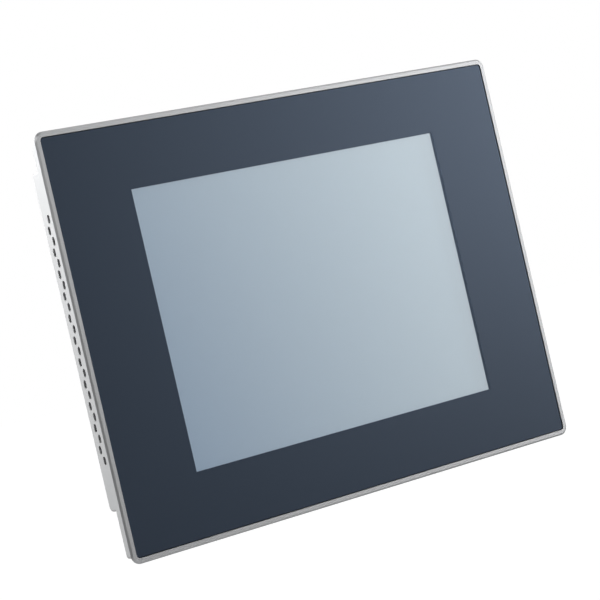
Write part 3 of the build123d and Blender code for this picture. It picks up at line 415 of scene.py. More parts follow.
def slab_tree(finish):
    """Thin slab with rounded corners at each point, standing up along the point's axis."""
    tree, size = start_tree(
        "rounded_slab", width=3.2 * MM, height=1.4 * MM, corner=0.4 * MM, thickness=1.0 * MM
    )
    spans = {"Width": size["width"], "Height": size["height"]}
    outline = add_node(tree, "GeometryNodeCurvePrimitiveQuadrilateral", spans)
    corners = {"Curve": outline, "Radius": size["corner"], "Count": 5}
    rounded = add_node(tree, "GeometryNodeFilletCurve", corners, mode="POLY")
    face = add_node(tree, "GeometryNodeFillCurve", {"Curve": rounded}, mode="NGONS")
    rise = {"Offset": (0, 0, 1), "Offset Scale": size["thickness"], "Individual": False}
    raised = add_node(tree, "GeometryNodeExtrudeMesh", {"Mesh": face, **rise})
    base = add_node(tree, "GeometryNodeFlipFaces", {"Mesh": face})
    shell = add_node(tree, "GeometryNodeJoinGeometry", {0: [raised, base]})
    closed = add_node(tree, "GeometryNodeMergeByDistance", {"Geometry": shell, "Distance": 0.001 * MM})
    return end_tree(tree, on_facing_points(tree, size["Geometry"], closed), finish)


def board_part_tree(finish, ends):
    """Small block parts scattered on a board's points, or with `ends` only their soldered ends."""
    tree, size = start_tree(
        "soldered_ends" if ends else "board_parts", length=2.0 * MM, width=1.25 * MM,
        height=0.8 * MM, end=0.4 * MM, share=0.8, seed=3,
    )
    length, width, height, end = (size[name] for name in ("length", "width", "height", "end"))
    wrap = 0.04 * MM
    extent = (end, width + wrap, height + wrap) if ends else (length, width, height)
    block = add_node(tree, "GeometryNodeMeshCube", {"Size": extent})
    if ends:
        away = (length - end) * 0.5
        pair = [moved(tree, block, away * -1.0, 0, 0), moved(tree, block, away, 0, 0)]
        block = add_node(tree, "GeometryNodeJoinGeometry", {0: pair})
    block = moved(tree, block, 0, 0, height * 0.5)
    chance = {6: size["share"], 8: size["seed"]}
    keep = add_node(tree, "FunctionNodeRandomValue", chance, 3, data_type="BOOLEAN")
    selected = {"Geometry": size["Geometry"], "Selection": keep}
    kept = add_node(tree, "GeometryNodeSeparateGeometry", selected)
    quarters = {4: 0, 5: 1, 8: size["seed"]}
    quarter = add_node(tree, "FunctionNodeRandomValue", quarters, 2, data_type="INT")
    angles = (-math.pi / 2, quarter * (math.pi / 2), 0)
    flat = add_node(tree, "FunctionNodeEulerToRotation", {0: angles})
    scattered = {"Points": kept, "Instance": block, "Rotation": flat}
    return end_tree(tree, add_node(tree, "GeometryNodeInstanceOnPoints", scattered), finish)


def groove_tree(finish):
    """Straight grooves cut side by side into a solid, spaced along Z from a first place."""
    tree, size = start_tree(
        "grip_grooves", count=7, pitch=1.9 * MM, length=24.0 * MM, width=0.9 * MM,
        depth=0.55 * MM, middle_x=0.0, face_y=0.0, first_z=0.0,
    )
    extent = (size["length"], size["depth"] * 2.0, size["width"])
    bar = add_node(tree, "GeometryNodeMeshCube", {"Size": extent})
    first = (size["middle_x"], size["face_y"], size["first_z"])
    bars = in_row(tree, bar, size["count"], (0, 0, size["pitch"]), first)
    real = add_node(tree, "GeometryNodeRealizeInstances", {"Geometry": bars})
    grooved = add_node(tree, "GeometryNodeMeshBoolean", {0: size["Geometry"], 1: real}, **CARVE)
    return end_tree(tree, grooved, finish)


# ------------------------ materials
def surface(name, first, second, low, high, fine_mm, bump_mm, broad_mm=None, stretch=(1, 1, 1), **values):
    """A finish whose fine grain sets its gloss and bump, and its colour too unless a broad one does."""
    material, tree, shader = start_material(name, **values)
    fine = grain(tree, fine_mm, stretch)
    patches = grain(tree, broad_mm) if broad_mm else fine
    feed(shader, Base_Color=tint(tree, patches, first, second), Roughness=spread(tree, fine, low, high))
    emboss(tree, shader, fine, bump_mm)
    return material


def anodised_aluminium():
    """Clear-anodised, bead-blasted aluminium with a fine satin grain."""
    look = {"fine_mm": 0.35, "broad_mm": 25.0, "bump_mm": 0.006, "Metallic": 1.0}
    metal = bpy.context.scene.panel_colours.frame_metal
    return surface("anodised_aluminium", metal, "#BBBCBD", 0.4, 0.48, **look)


def coated_sheet_steel():
    """Folded sheet steel with a thin silver-grey powder coat: fine orange peel, soft metal sheen."""
    look = {"fine_mm": 0.7, "broad_mm": 18.0, "bump_mm": 0.012, "Metallic": 0.35}
    coat = bpy.context.scene.panel_colours.sheet_coat
    return surface("coated_sheet_steel", coat, "#D0D1D2", 0.4, 0.5, **look)


def rolled_steel(name, first, second, low, high):
    """Cold-rolled or plated steel: lengthwise rolling grain in colour and gloss."""
    look = {"fine_mm": 0.5, "bump_mm": 0.004, "stretch": (0.05, 1, 1), "Metallic": 1.0}
    return surface(name, first, second, low, high, **look)


def moulding(name, first, second, low, high):
    """Injection-moulded plastic: the tool's spark-eroded grain, and a slight flow in the colour."""
    look = {"fine_mm": 0.3, "broad_mm": 6.0, "bump_mm": 0.012, "IOR": 1.5}
    return surface(name, first, second, low, high, **look)


def soft_film(name, first, second, low, high):
    """Film, foam or rubber: matt, and a little uneven."""
    return surface(name, first, second, low, high, fine_mm=1.5, bump_mm=0.02, IOR=1.45)


def printed_glass():
    """Etched front glass: a dark blue-grey border is printed on it, and the window is left clear.
    Both share one softly blurred gloss."""
    material = bpy.data.materials.new("printed_glass")
    tree = empty_tree(material)
    sizes = bpy.context.scene.panel_sizes
    x, _, z = split_axes(tree, add_node(tree, "ShaderNodeTexCoord", output="Object"))
    window = (abs(x) < sizes.window_width / 2) * (abs(z) < sizes.window_height / 2)
    rough = spread(tree, grain(tree, 0.25), 0.3, 0.36)
    gloss = {"IOR": 1.52, "Specular IOR Level": 0.9, "Specular Tint": linear("#C3DCFF")}
    border = add_node(tree, "ShaderNodeBsdfPrincipled", {"Roughness": rough, **gloss})
    ink = bpy.context.scene.panel_colours.border_print
    feed(border, Base_Color=tint(tree, grain(tree, 60.0), ink, "#151C26"))
    pane = clear_pane(tree, 1.7, "#F8FBFC", "#C3DCFF", rough)
    front = add_node(tree, "ShaderNodeMixShader", {0: window, 1: border, 2: pane})
    add_node(tree, "ShaderNodeOutputMaterial", {"Surface": front})
    return material


def sensor_glass():
    """Thin float glass with a clear conductive coat: nearly nothing but a weak reflection."""
    material = bpy.data.materials.new("sensor_glass")
    tree = empty_tree(material)
    coat = spread(tree, grain(tree, 8.0), 0.1, 0.16)
    pane = clear_pane(tree, 1.2, "#F1F6F6", "#C9D6E4", coat)
    add_node(tree, "ShaderNodeOutputMaterial", {"Surface": pane})
    return material


def display_glass():
    """Liquid crystal cell behind its polariser, showing a blank pale page as a glow from behind. The glow
    is painted light that stands in for the studio light on the screen, painted brighter towards the upper
    right where that light falls, and it keeps the border's shadow off the screen."""
    material, tree, shader = start_material("display_glass", IOR=1.49, Emission_Strength=1.0)
    # painted light: the glow grows brighter towards the upper right, where the studio light falls
    place = add_node(tree, "ShaderNodeTexCoord", output="Object")
    rise = {0: place, 1: (3.6, 0, 1.5)}  # painted light: glow gained per metre along each axis
    painted_light_slope = add_node(tree, "ShaderNodeVectorMath", rise, "Value", operation="DOT_PRODUCT")
    level = add_node(tree, "ShaderNodeMapRange", {"Value": painted_light_slope, "From Min": -0.5, "From Max": 0.5})
    haze = grain(tree, 0.4)
    # painted light: the glow runs from dim at the lower left to bright at the upper right
    feed(shader, Emission_Color=tint(tree, level, "#8F96A5", "#D4D2D3"))
    feed(shader, Base_Color=tint(tree, grain(tree, 80.0), "#3A4650", "#3E4A54"))
    feed(shader, Roughness=spread(tree, haze, 0.42, 0.5))
    emboss(tree, shader, haze, 0.004)
    return material


def circuit_board():
    """Green solder mask over copper: tracks show as slightly paler raised lines, with gold pads."""
    material, tree, shader = start_material("circuit_board", IOR=1.52)
    place = add_node(tree, "ShaderNodeTexCoord", output="Object")
    tracks = []
    for turn in (0.0, math.pi / 2):
        mapped = add_node(tree, "ShaderNodeMapping", {"Vector": place, "Rotation": (0, turn, 0)})
        look = {"Scale": 1 / (6.0 * MM), "Distortion": 3.0, "Detail": 0.0}
        tracks.append(add_node(tree, "ShaderNodeTexWave", {"Vector": mapped, **look}, "Fac"))
    region = grain(tree, 14.0, detail=0.0) > 0.5
    track = add_node(tree, "ShaderNodeMix", {0: region, 2: tracks[0], 3: tracks[1]}) > 0.72
    cells = {"Vector": place, "Scale": 1 / (3.2 * MM)}
    pad = add_node(tree, "ShaderNodeTexVoronoi", cells, "Distance") < 0.13
    mask = tint(tree, track, "#0E4029", "#185A38")
    feed(shader, Base_Color=tint(tree, pad, mask, "#C9A24A"), Metallic=pad)
    feed(shader, Roughness=spread(tree, track, 0.32, 0.4))
    emboss(tree, shader, track, 0.02)
    return material


def clear_acrylic():
    """Clear moulded acrylic, tinted only where it is thick."""
    material, tree, shader = start_material("clear_acrylic", IOR=1.49, Transmission_Weight=0.9)
    feed(shader, Base_Color=tint(tree, grain(tree, 20.0), "#F4FAFA", "#FFFFFF"))
    feed(shader, Roughness=spread(tree, grain(tree, 2.0), 0.05, 0.12))
    return material


def inside_box(tree, middle, half, slant=0.0):
    """One inside a box on the object and nothing outside; slant widens it in X as Y grows."""
    x, y, z = split_axes(tree, add_node(tree, "ShaderNodeTexCoord", output="Object"))
    away_x = abs(x - middle.x)
    if slant:
        away_x = away_x - (y - middle.y) * slant
    return (away_x < half.x) * (abs(y - middle.y) < half.y) * (abs(z - middle.z) < half.z)


def lined_shell(name, low, high, slant=0.0):
    """Nickel-plated connector shell, with dark glass-filled nylon inside the box low to high."""
    material, tree, shader = start_material(name, IOR=1.5)
    lining = inside_box(tree, (low + high) / 2, (high - low) / 2, slant)
    rolling = grain(tree, 0.5, (1, 1, 0.05))
    texture = grain(tree, 0.3)
    metal = tint(tree, rolling, "#C4C6C8", "#CFD1D2")
    nylon = tint(tree, texture, "#17191C", "#1E2024")
    smooth = spread(tree, rolling, 0.22, 0.32)
    matt = spread(tree, texture, 0.5, 0.6)
    feed(shader, Base_Color=tint(tree, lining, metal, nylon), Metallic=1.0 - lining)
    feed(shader, Roughness=add_node(tree, "ShaderNodeMix", {0: lining, 2: smooth, 3: matt}))
    emboss(tree, shader, texture, 0.0015)
    return material


def rocker_moulding():
    """Black rocker with a printed bar on its on half and a printed ring on its off half."""
    material, tree, shader = start_material("rocker_moulding", IOR=1.5)
    mark_place, bar_half, bar_stroke, ring_radius, ring_stroke = (
        value * MM for value in (3.2, 1.3, 0.25, 1.1, 0.23)
    )
    middle = box_middle("power_switch")
    place_x, place_y, _ = split_axes(tree, add_node(tree, "ShaderNodeTexCoord", output="Object"))
    x = place_x - middle.x
    y = place_y - middle.y
    bar = (abs(x - mark_place) < bar_stroke) * (abs(y) < bar_half)
    ring_x = x + mark_place
    radius = calc("SQRT", ring_x * ring_x + y * y)
    marks = calc("MAXIMUM", bar, abs(radius - ring_radius) < ring_stroke)
    texture = grain(tree, 0.3)
    black = tint(tree, texture, "#17181A", "#1D1E20")
    white = tint(tree, texture, "#D9DADA", "#E6E6E5")
    feed(shader, Base_Color=tint(tree, marks, black, white))
    feed(shader, Roughness=spread(tree, texture, 0.38, 0.52))
    emboss(tree, shader, texture, 0.01)
    return material


# name: two colours that it varies between, and its range of roughness
STEEL = {
    "module_steel": ("#9FA1A3", "#B4B6B8", 0.3, 0.42),
    "zinc_steel": ("#B9BCBE", "#CFD0CC", 0.28, 0.4),
    "screw_steel": ("#B4B5B6", "#C9CACB", 0.22, 0.34),
    "nickel_brass": ("#C3BDA9", "#D2CDBD", 0.2, 0.3),
    "heat_aluminium": ("#C2C4C6", "#D3D5D6", 0.3, 0.45),
    "cell_steel": ("#C5C6C7", "#D5D5D5", 0.15, 0.25),
    "connector_shell": ("#BDBFC1", "#D0D2D3", 0.22, 0.32),
    "contact_gold": ("#D9B25A", "#E6C476", 0.18, 0.28),
    "solder_tin": ("#C8C9C8", "#D8D8D5", 0.25, 0.4),
}
PLASTIC = {
    "black_moulding": ("#17181A", "#1D1E20", 0.45, 0.6),
    "chip_black": ("#141415", "#1A1A1C", 0.5, 0.65),
    "ceramic_tan": ("#8F7458", "#9C8265", 0.45, 0.6),
    "card_moulding": ("#22252B", "#2A2E35", 0.35, 0.5),
    "terminal_green": ("#1C6B42", "#217549", 0.35, 0.5),
    "white_nylon": ("#D8D6CE", "#E2E0D9", 0.4, 0.55),
    "print_grey": ("#4A4D50", "#55585B", 0.5, 0.6),
    "lamp_green": ("#5F9B68", "#72AD79", 0.2, 0.3),
    "lamp_amber": ("#B98C45", "#C99C54", 0.2, 0.3),
}
FILM = {
    "gasket_rubber": ("#0C0C0D", "#121213", 0.7, 0.85),
    "black_tape": ("#0A0A0A", "#101010", 0.75, 0.9),
    "flex_film": ("#A85F1C", "#B86E28", 0.25, 0.4),
    "white_film": ("#E4E6E6", "#EEEFEF", 0.6, 0.75),
    "led_board": ("#DEDED8", "#E8E8E3", 0.35, 0.5),
    "thermal_silicone": ("#7688A0", "#8292A8", 0.6, 0.75),
}
SPECIAL = {
    make.__name__: make
    for make in (
        anodised_aluminium, printed_glass, sensor_glass, display_glass, coated_sheet_steel, circuit_board,
        clear_acrylic,
    )
}
FINISHED = {}


def finish(name):
    """The finish of that name, made on first use."""
    if name not in FINISHED:
        FINISHED[name] = make_finish(name)
    return FINISHED[name]


def make_finish(name):
    if name in SPECIAL:
        return SPECIAL[name]()
    for kind, table in ((rolled_steel, STEEL), (moulding, PLASTIC), (soft_film, FILM)):
        if name in table:
            return kind(name, *table[name])
    raise KeyError(name)


def paint(node, material):
    """Puts one finish on a CAD piece."""
    NODES[node].data.materials.clear()
    NODES[node].data.materials.append(material)


def paint_all(*nodes):
    """Gives CAD pieces the finishes of their own material slots."""
    for node in nodes:
        paint(node, finish(SLOTS[node]))


# ------------------------ settings shown
def length(name, description, millimetres):
    """A length setting, kept in metres and given in millimetres."""
    return bpy.props.FloatProperty(
        name=name, description=description, default=millimetres * MM, precision=5, unit="LENGTH"
    )


def colour(name, description, hex_code):
    return bpy.props.FloatVectorProperty(
        name=name, description=description, size=3, default=linear(hex_code)[:3], subtype="COLOR"
    )


class PanelSizes(bpy.types.PropertyGroup):
    """Sizes of the printed window, the screws, the contacts and the marks"""

    window_width: length("Window width", "Clear width inside the printed border", 211.2)
    window_height: length("Window height", "Clear height inside the printed border", 158.4)
    head_height: length("Head height", "Height of the pan heads", 1.9)
    side_head_height: length("Side head height", "Height of the display module's side screw heads", 1.3)
    contact_pitch: length("Contact pitch", "Spacing of the network sockets' contacts", 1.02)
    thread_pitch: length("Thread pitch", "Spacing of the thread rings on stud and inserts", 0.7)
    groove_pitch: length("Groove pitch", "Spacing of the grip grooves on the battery door", 1.9)
    mark_height: length("Mark height", "Height of the printed polarity and earth marks", 2.6)
    floor_drop: length("Floor drop", "Distance from the panel's lower edge to the floor", 350.0)


class PanelColours(bpy.types.PropertyGroup):
    """Colours that a user would change"""

    frame_metal: colour("Frame metal", "Anodised metal of the front frame", "#B4B5B7")
    border_print: colour("Border print", "Print round the glass window", "#121922")
    sheet_coat: colour("Sheet coat", "Powder coat of the tray and the rear cover", "#C9CACB")


# ------------------------ operators
class TOUCH_PANEL_OT_front(bpy.types.Operator):
    """Finish the metal frame, the printed glass and the layers bonded behind it"""

    bl_idname = "touch_panel.front"
    bl_label = "Front frame and glass"

    def execute(self, context):
        paint_all("bezel_frame", "front_glass", "glass_tape", "panel_gasket", "lcd_gasket")
        paint_all("touch_sensor", "touch_tail")
        return {"FINISHED"}


class TOUCH_PANEL_OT_display(bpy.types.Operator):
    """Finish the liquid crystal module, its backlight and the brackets that hold it"""

    bl_idname = "touch_panel.display"
    bl_label = "Display module"

    def execute(self, context):
        paint_all("lcd_cell", "lcd_bezel", "diffuser", "light_guide", "led_strip", "backlight_pan")
        paint_all("lcd_bracket_left", "lcd_bracket_right")
        return {"FINISHED"}


class TOUCH_PANEL_OT_housing(bpy.types.Operator):
    """Finish the tray and rear cover, and cut grip grooves into the battery door"""

    bl_idname = "touch_panel.housing"
    bl_label = "Tray, cover and door"

    groove_count = 9
    first_groove = 8.0 * MM  # above the door's lower edge

    def execute(self, context):
        paint_all("rear_tray", "rear_cover")
        low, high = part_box("battery_door")
        plain = NODES["battery_door"].data.copy()
        door = grow(
            "battery_door_grip", groove_tree(finish("black_moulding")), plain, "black_moulding", "door",
            count=self.groove_count, pitch=context.scene.panel_sizes.groove_pitch,
            middle_x=(low.x + high.x) / 2, face_y=high.y, first_z=low.z + self.first_groove,
        )
        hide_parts("battery_door")
        return {"FINISHED"}


class TOUCH_PANEL_OT_boards(bpy.types.Operator):
    """Finish the circuit boards and set small soldered parts on the free part of the mainboard"""

    bl_idname = "touch_panel.boards"
    bl_label = "Circuit boards"

    kept_clear = (
        "lan_port_1", "lan_port_2", "usb_ports", "serial_port", "power_header", "power_switch",
        "reset_switch", "card_slot", "battery_holder", "memory_socket", "memory_module", "processor",
        "heat_block", "board_screws",
    )
    kinds = (("resistors", "chip_black", 0.55 * MM), ("capacitors", "ceramic_tan", 1.2 * MM))
    kept_share = 0.45
    first_seed = 11
    spot_step = 4.6 * MM
    spot_margin = 2.4 * MM

    # X and Z of each chip's middle, in millimetres
    chip_places = ((36.0, 2.0), (52.0, -14.0), (-4.0, -38.0), (38.0, 44.0), (-42.0, 56.0), (58.0, 56.0))
    chip_width = 10.0 * MM
    chip_reach = 8.6 * MM
    chip_lift = 0.1 * MM
    lead_lift = 0.2 * MM
    lead_away = 5.6 * MM

    def execute(self, context):
        paint_all("mainboard", "display_board", "touch_controller", "backlight_driver", "processor")
        paint_all("memory_module", "memory_socket", "battery_holder", "battery", "heat_block")
        paint_all("thermal_pad", "display_connectors", "display_flex", "board_standoffs", "board_pillars")
        spots = self.free_spots()
        for turn, (name, stuff, height) in enumerate(self.kinds):
            extent = {"height": height, "share": self.kept_share, "seed": self.first_seed + turn}
            body = board_part_tree(finish(stuff), ends=False)
            grow_at(f"board_{name}", body, spots[turn::2], "chip_black", **extent)
            ends = board_part_tree(finish("solder_tin"), ends=True)
            grow_at(f"board_{name}_ends", ends, spots[turn::2], "connector_shell", **extent)
        self.add_chips()
        return {"FINISHED"}

    def free_spots(self):
        """Centres of the grid cells on the mainboard's back face that no other piece stands on."""
        low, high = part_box("mainboard")
        step, margin = self.spot_step, self.spot_margin
        taken = [box for node in self.kept_clear for box in separate_boxes(node)]
        across = int((high.x - low.x - 4 * margin) / step)
        up = int((high.z - low.z - 4 * margin) / step)
        spots = []
        for number in range(across * up):
            column, level = divmod(number, up)
            x = low.x + 2 * margin + (column + 0.5) * step
            z = low.z + 2 * margin + (level + 0.5) * step
            clear = all(
                not (a.x - margin <= x <= b.x + margin and a.z - margin <= z <= b.z + margin)
                for a, b in taken
            )
            if clear and not self.on_chip(x, z):
                spots.append((x, high.y, z))
        return spots

    def on_chip(self, x, z):
        return any(
            abs(x - chip_x * MM) < self.chip_reach and abs(z - chip_z * MM) < self.chip_reach
            for chip_x, chip_z in self.chip_places
        )

    def add_chips(self):
        """Square leaded chips: a slab body, and a row of leads under each of two sides."""
        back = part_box("mainboard")[1].y
        places = [(x * MM, back + self.chip_lift, z * MM) for x, z in self.chip_places]
        grow_at(
            "board_chips", slab_tree(finish("chip_black")), places, "chip_black", axes=(0, 1, 0),
            width=self.chip_width, height=self.chip_width, corner=0.3 * MM, thickness=1.3 * MM,
        )
        sides = (-self.lead_away, self.lead_away)
        places = [(x, back + self.lead_lift, z + side) for x, _, z in places for side in sides]
        grow_at(
            "board_chip_leads", contact_tree(finish("solder_tin")), places, "connector_shell",
            count=10, pitch=0.9 * MM, width=0.35 * MM, thickness=0.25 * MM, length=1.6 * MM, bow=0.0,
        )


class TOUCH_PANEL_OT_sockets(bpy.types.Operator):
    """Finish the row of connectors and add their contacts and indicator windows"""

    bl_idname = "touch_panel.sockets"
    bl_label = "Connectors"

    # network sockets: wall, then where the lamps and contacts lie in from the socket's faces
    lan_wall = 1.2 * MM
    lamp_inset = 2.3 * MM
    lamp_away = 5.5 * MM
    lamp_sink = 0.9 * MM
    contact_inset = 2.1 * MM
    contact_depth = 7.0 * MM

    # serial connector: half size of its dark lining, and how far the lining's ends lean
    serial_half = Vector((7.9, 4.5, 10.0)) * MM
    serial_slant = 0.17

    # USB contacts: their place from each tongue's lowest corner
    tongue_inset = 2.55 * MM
    tongue_depth = 4.6 * MM

    def execute(self, context):
        paint_all("power_header", "power_contacts", "power_plug", "usb_ports", "usb_tongues")
        paint_all("card_slot", "memory_card")
        lamps = []
        rows = []
        wall = self.lan_wall
        for node in ("lan_port_1", "lan_port_2"):
            low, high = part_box(node)
            inner_low = low + Vector((wall, wall, -wall))
            inner_high = high - Vector((wall, wall, 0))
            paint(node, lined_shell(f"{node}_shell", inner_low, inner_high))
            middle = (low.x + high.x) / 2
            lamps.append((middle, low.y + self.lamp_inset, low.z + self.lamp_sink))
            rows.append((middle, high.y - self.contact_inset, low.z + self.contact_depth))
        mouth = box_middle("serial_port")
        mouth.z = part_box("serial_port")[0].z
        half = self.serial_half
        paint("serial_port", lined_shell("serial_shell", mouth - half, mouth + half, self.serial_slant))
        for name, away in (("lamp_green", -self.lamp_away), ("lamp_amber", self.lamp_away)):
            places = [(x + away, y, z) for x, y, z in lamps]
            tree = slab_tree(finish(name))
            grow_at(f"lan_{name}", tree, places, "clear_acrylic", axes=(0, 0, -1), height=1.5 * MM)
        pitch = context.scene.panel_sizes.contact_pitch
        gold = finish("contact_gold")
        grow_at("lan_contacts", contact_tree(gold), rows, "contact_gold", pitch=pitch)
        places = [
            ((low.x + high.x) / 2, low.y + self.tongue_inset, low.z + self.tongue_depth)
            for low, high in separate_boxes("usb_tongues")
        ]
        grow_at(
            "usb_contacts", contact_tree(gold), places, "contact_gold",
            count=4, pitch=2.3 * MM, width=1.0 * MM, length=7.4 * MM, bow=0.0,
        )
        return {"FINISHED"}


class TOUCH_PANEL_OT_screws(bpy.types.Operator):
    """Replace the plain screws with pan-head screws that have cross recesses and threads"""

    bl_idname = "touch_panel.screws"
    bl_label = "Screws"

    recess_share = 0.53  # of the head's width

    def execute(self, context):
        sizes = context.scene.panel_sizes
        for node in ("tray_screws", "cover_screws", "bracket_foot_screws", "board_screws"):
            self.add_screws(node, "Y", sizes.head_height)
        self.add_screws("bracket_side_screws", "X", sizes.side_head_height)
        paint_all("clamp_screws")
        return {"FINISHED"}

    def add_screws(self, node, along, head_height):
        """One screw for each CAD screw of a node, the same size and facing outwards."""
        places = []
        axes = []
        for low, high in separate_boxes(node):
            middle = (low + high) / 2
            if along == "Y":
                places.append((middle.x, high.y - head_height, middle.z))
                axes.append((0, 1, 0))
                wide, total = high.x - low.x, high.y - low.y
            else:
                side = 1 if middle.x > 0 else -1
                outer = high.x if side > 0 else low.x
                places.append((outer - side * head_height, middle.y, middle.z))
                axes.append((side, 0, 0))
                wide, total = high.y - low.y, high.x - low.x
        piece = grow_at(
            f"{node}_detailed", screw_tree(finish("screw_steel")), places, "screw_steel", axes=axes,
            head_radius=wide / 2, head_height=head_height, shank_length=total - head_height,
            recess_width=wide * self.recess_share,
        )
        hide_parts(node)


class TOUCH_PANEL_OT_threads(bpy.types.Operator):
    """Finish the mounting inserts, the earth stud and the serial studs, and add their threads"""

    bl_idname = "touch_panel.threads"
    bl_label = "Inserts and studs"

    stud_ridges = 1.98 * MM
    stud_start = 0.5 * MM
    insert_ridges = 1.66 * MM
    insert_start = 0.6 * MM

    def execute(self, context):
        paint_all("mounting_inserts", "earth_stud", "earth_nut", "serial_studs")
        pitch = context.scene.panel_sizes.thread_pitch
        end = box_middle("earth_stud")
        end.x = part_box("earth_stud")[0].x + self.stud_start
        grow_at(
            "earth_stud_thread", thread_tree(finish("screw_steel")), [end], "screw_steel",
            axes=(1, 0, 0), pitch=pitch, radius=self.stud_ridges,
        )
        holes = separate_boxes("mounting_inserts")
        places = [((a.x + b.x) / 2, b.y - self.insert_start, (a.z + b.z) / 2) for a, b in holes]
        grow_at(
            "insert_threads", thread_tree(finish("zinc_steel")), places, "zinc_steel",
            axes=(0, -1, 0), pitch=pitch, radius=self.insert_ridges, count=8,
        )
        return {"FINISHED"}


class TOUCH_PANEL_OT_controls(bpy.types.Operator):
    """Finish the power rocker and its housing, and the reset button and its switch"""

    bl_idname = "touch_panel.controls"
    bl_label = "Switches"

    def execute(self, context):
        paint("power_rocker", rocker_moulding())
        paint_all("power_switch", "reset_button", "reset_switch")
        return {"FINISHED"}


class TOUCH_PANEL_OT_marks(bpy.types.Operator):
    """Print the polarity marks by the supply terminal and the earth sign by the stud"""

    bl_idname = "touch_panel.marks"
    bl_label = "Printed marks"

    ports_stand_out = 0.4 * MM
    pole_marks_y = -4.6 * MM
    cover_side_x = -120.0 * MM
    earth_above_stud = 9.5 * MM
    earth_scale = 1.7
    ink_bottom = -0.02 * MM
    ink_top = 0.04 * MM

    # each face that is printed: its directions across and up the mark, and out of the face
    under_side = (Vector((1, 0, 0)), Vector((0, 1, 0)), Vector((0, 0, -1)))
    left_side = (Vector((0, -1, 0)), Vector((0, 0, 1)), Vector((-1, 0, 0)))

    def execute(self, context):
        size = context.scene.panel_sizes.mark_height
        poles = sorted((low.x + high.x) / 2 for low, high in separate_boxes("power_contacts"))
        wall_z = min(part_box(node)[0].z for node in ("lan_port_1", "lan_port_2")) + self.ports_stand_out
        plus, minus, earth = (Vector((x, self.pole_marks_y, wall_z)) for x in poles)
        shape = bmesh.new()
        self.add_plus(shape, plus, self.under_side, size)
        self.add_bar(shape, minus, self.under_side, size, size * 0.16)
        self.add_earth(shape, earth, self.under_side, size)
        stud = box_middle("earth_stud")
        left = Vector((self.cover_side_x, stud.y, stud.z + self.earth_above_stud))
        self.add_earth(shape, left, self.left_side, size * self.earth_scale)
        bmesh.ops.recalc_face_normals(shape, faces=shape.faces)
        mesh = bpy.data.meshes.new("cover_marks")
        shape.to_mesh(mesh)
        shape.free()
        mesh.materials.append(finish("print_grey"))
        piece = bpy.data.objects.new("cover_marks", mesh)
        context.scene.collection.objects.link(piece)
        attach(piece, "chassis")
        return {"FINISHED"}

    def add_bar(self, shape, middle, face, width, height):
        """A printed bar, sunk a little so that it meets the face."""
        across, upward, outward = face
        sides = (across * width, upward * height, outward * (self.ink_top - self.ink_bottom))
        lift = (self.ink_top + self.ink_bottom) / 2
        place = Matrix.Translation(middle + outward * lift) @ Matrix(sides).transposed().to_4x4()
        bmesh.ops.create_cube(shape, size=1.0, matrix=place)

    def add_plus(self, shape, middle, face, size):
        """A plus sign: a bar, and an arm above it and one below."""
        self.add_bar(shape, middle, face, size, size * 0.16)
        arm = size * 0.42
        for side in (-1, 1):
            away = face[1] * (side * (size * 0.08 + arm / 2))
            self.add_bar(shape, middle + away, face, size * 0.16, arm)

    def add_earth(self, shape, middle, face, size):
        """The earth sign: a stem over three bars that get shorter."""
        stroke = size * 0.11
        stem = middle + face[1] * (size * 0.27 + stroke / 2)
        self.add_bar(shape, stem, face, stroke, size * 0.46 - stroke)
        for number, width in enumerate((1.0, 0.64, 0.28)):
            level = middle - face[1] * (number * size * 0.21)
            self.add_bar(shape, level, face, size * width, stroke)


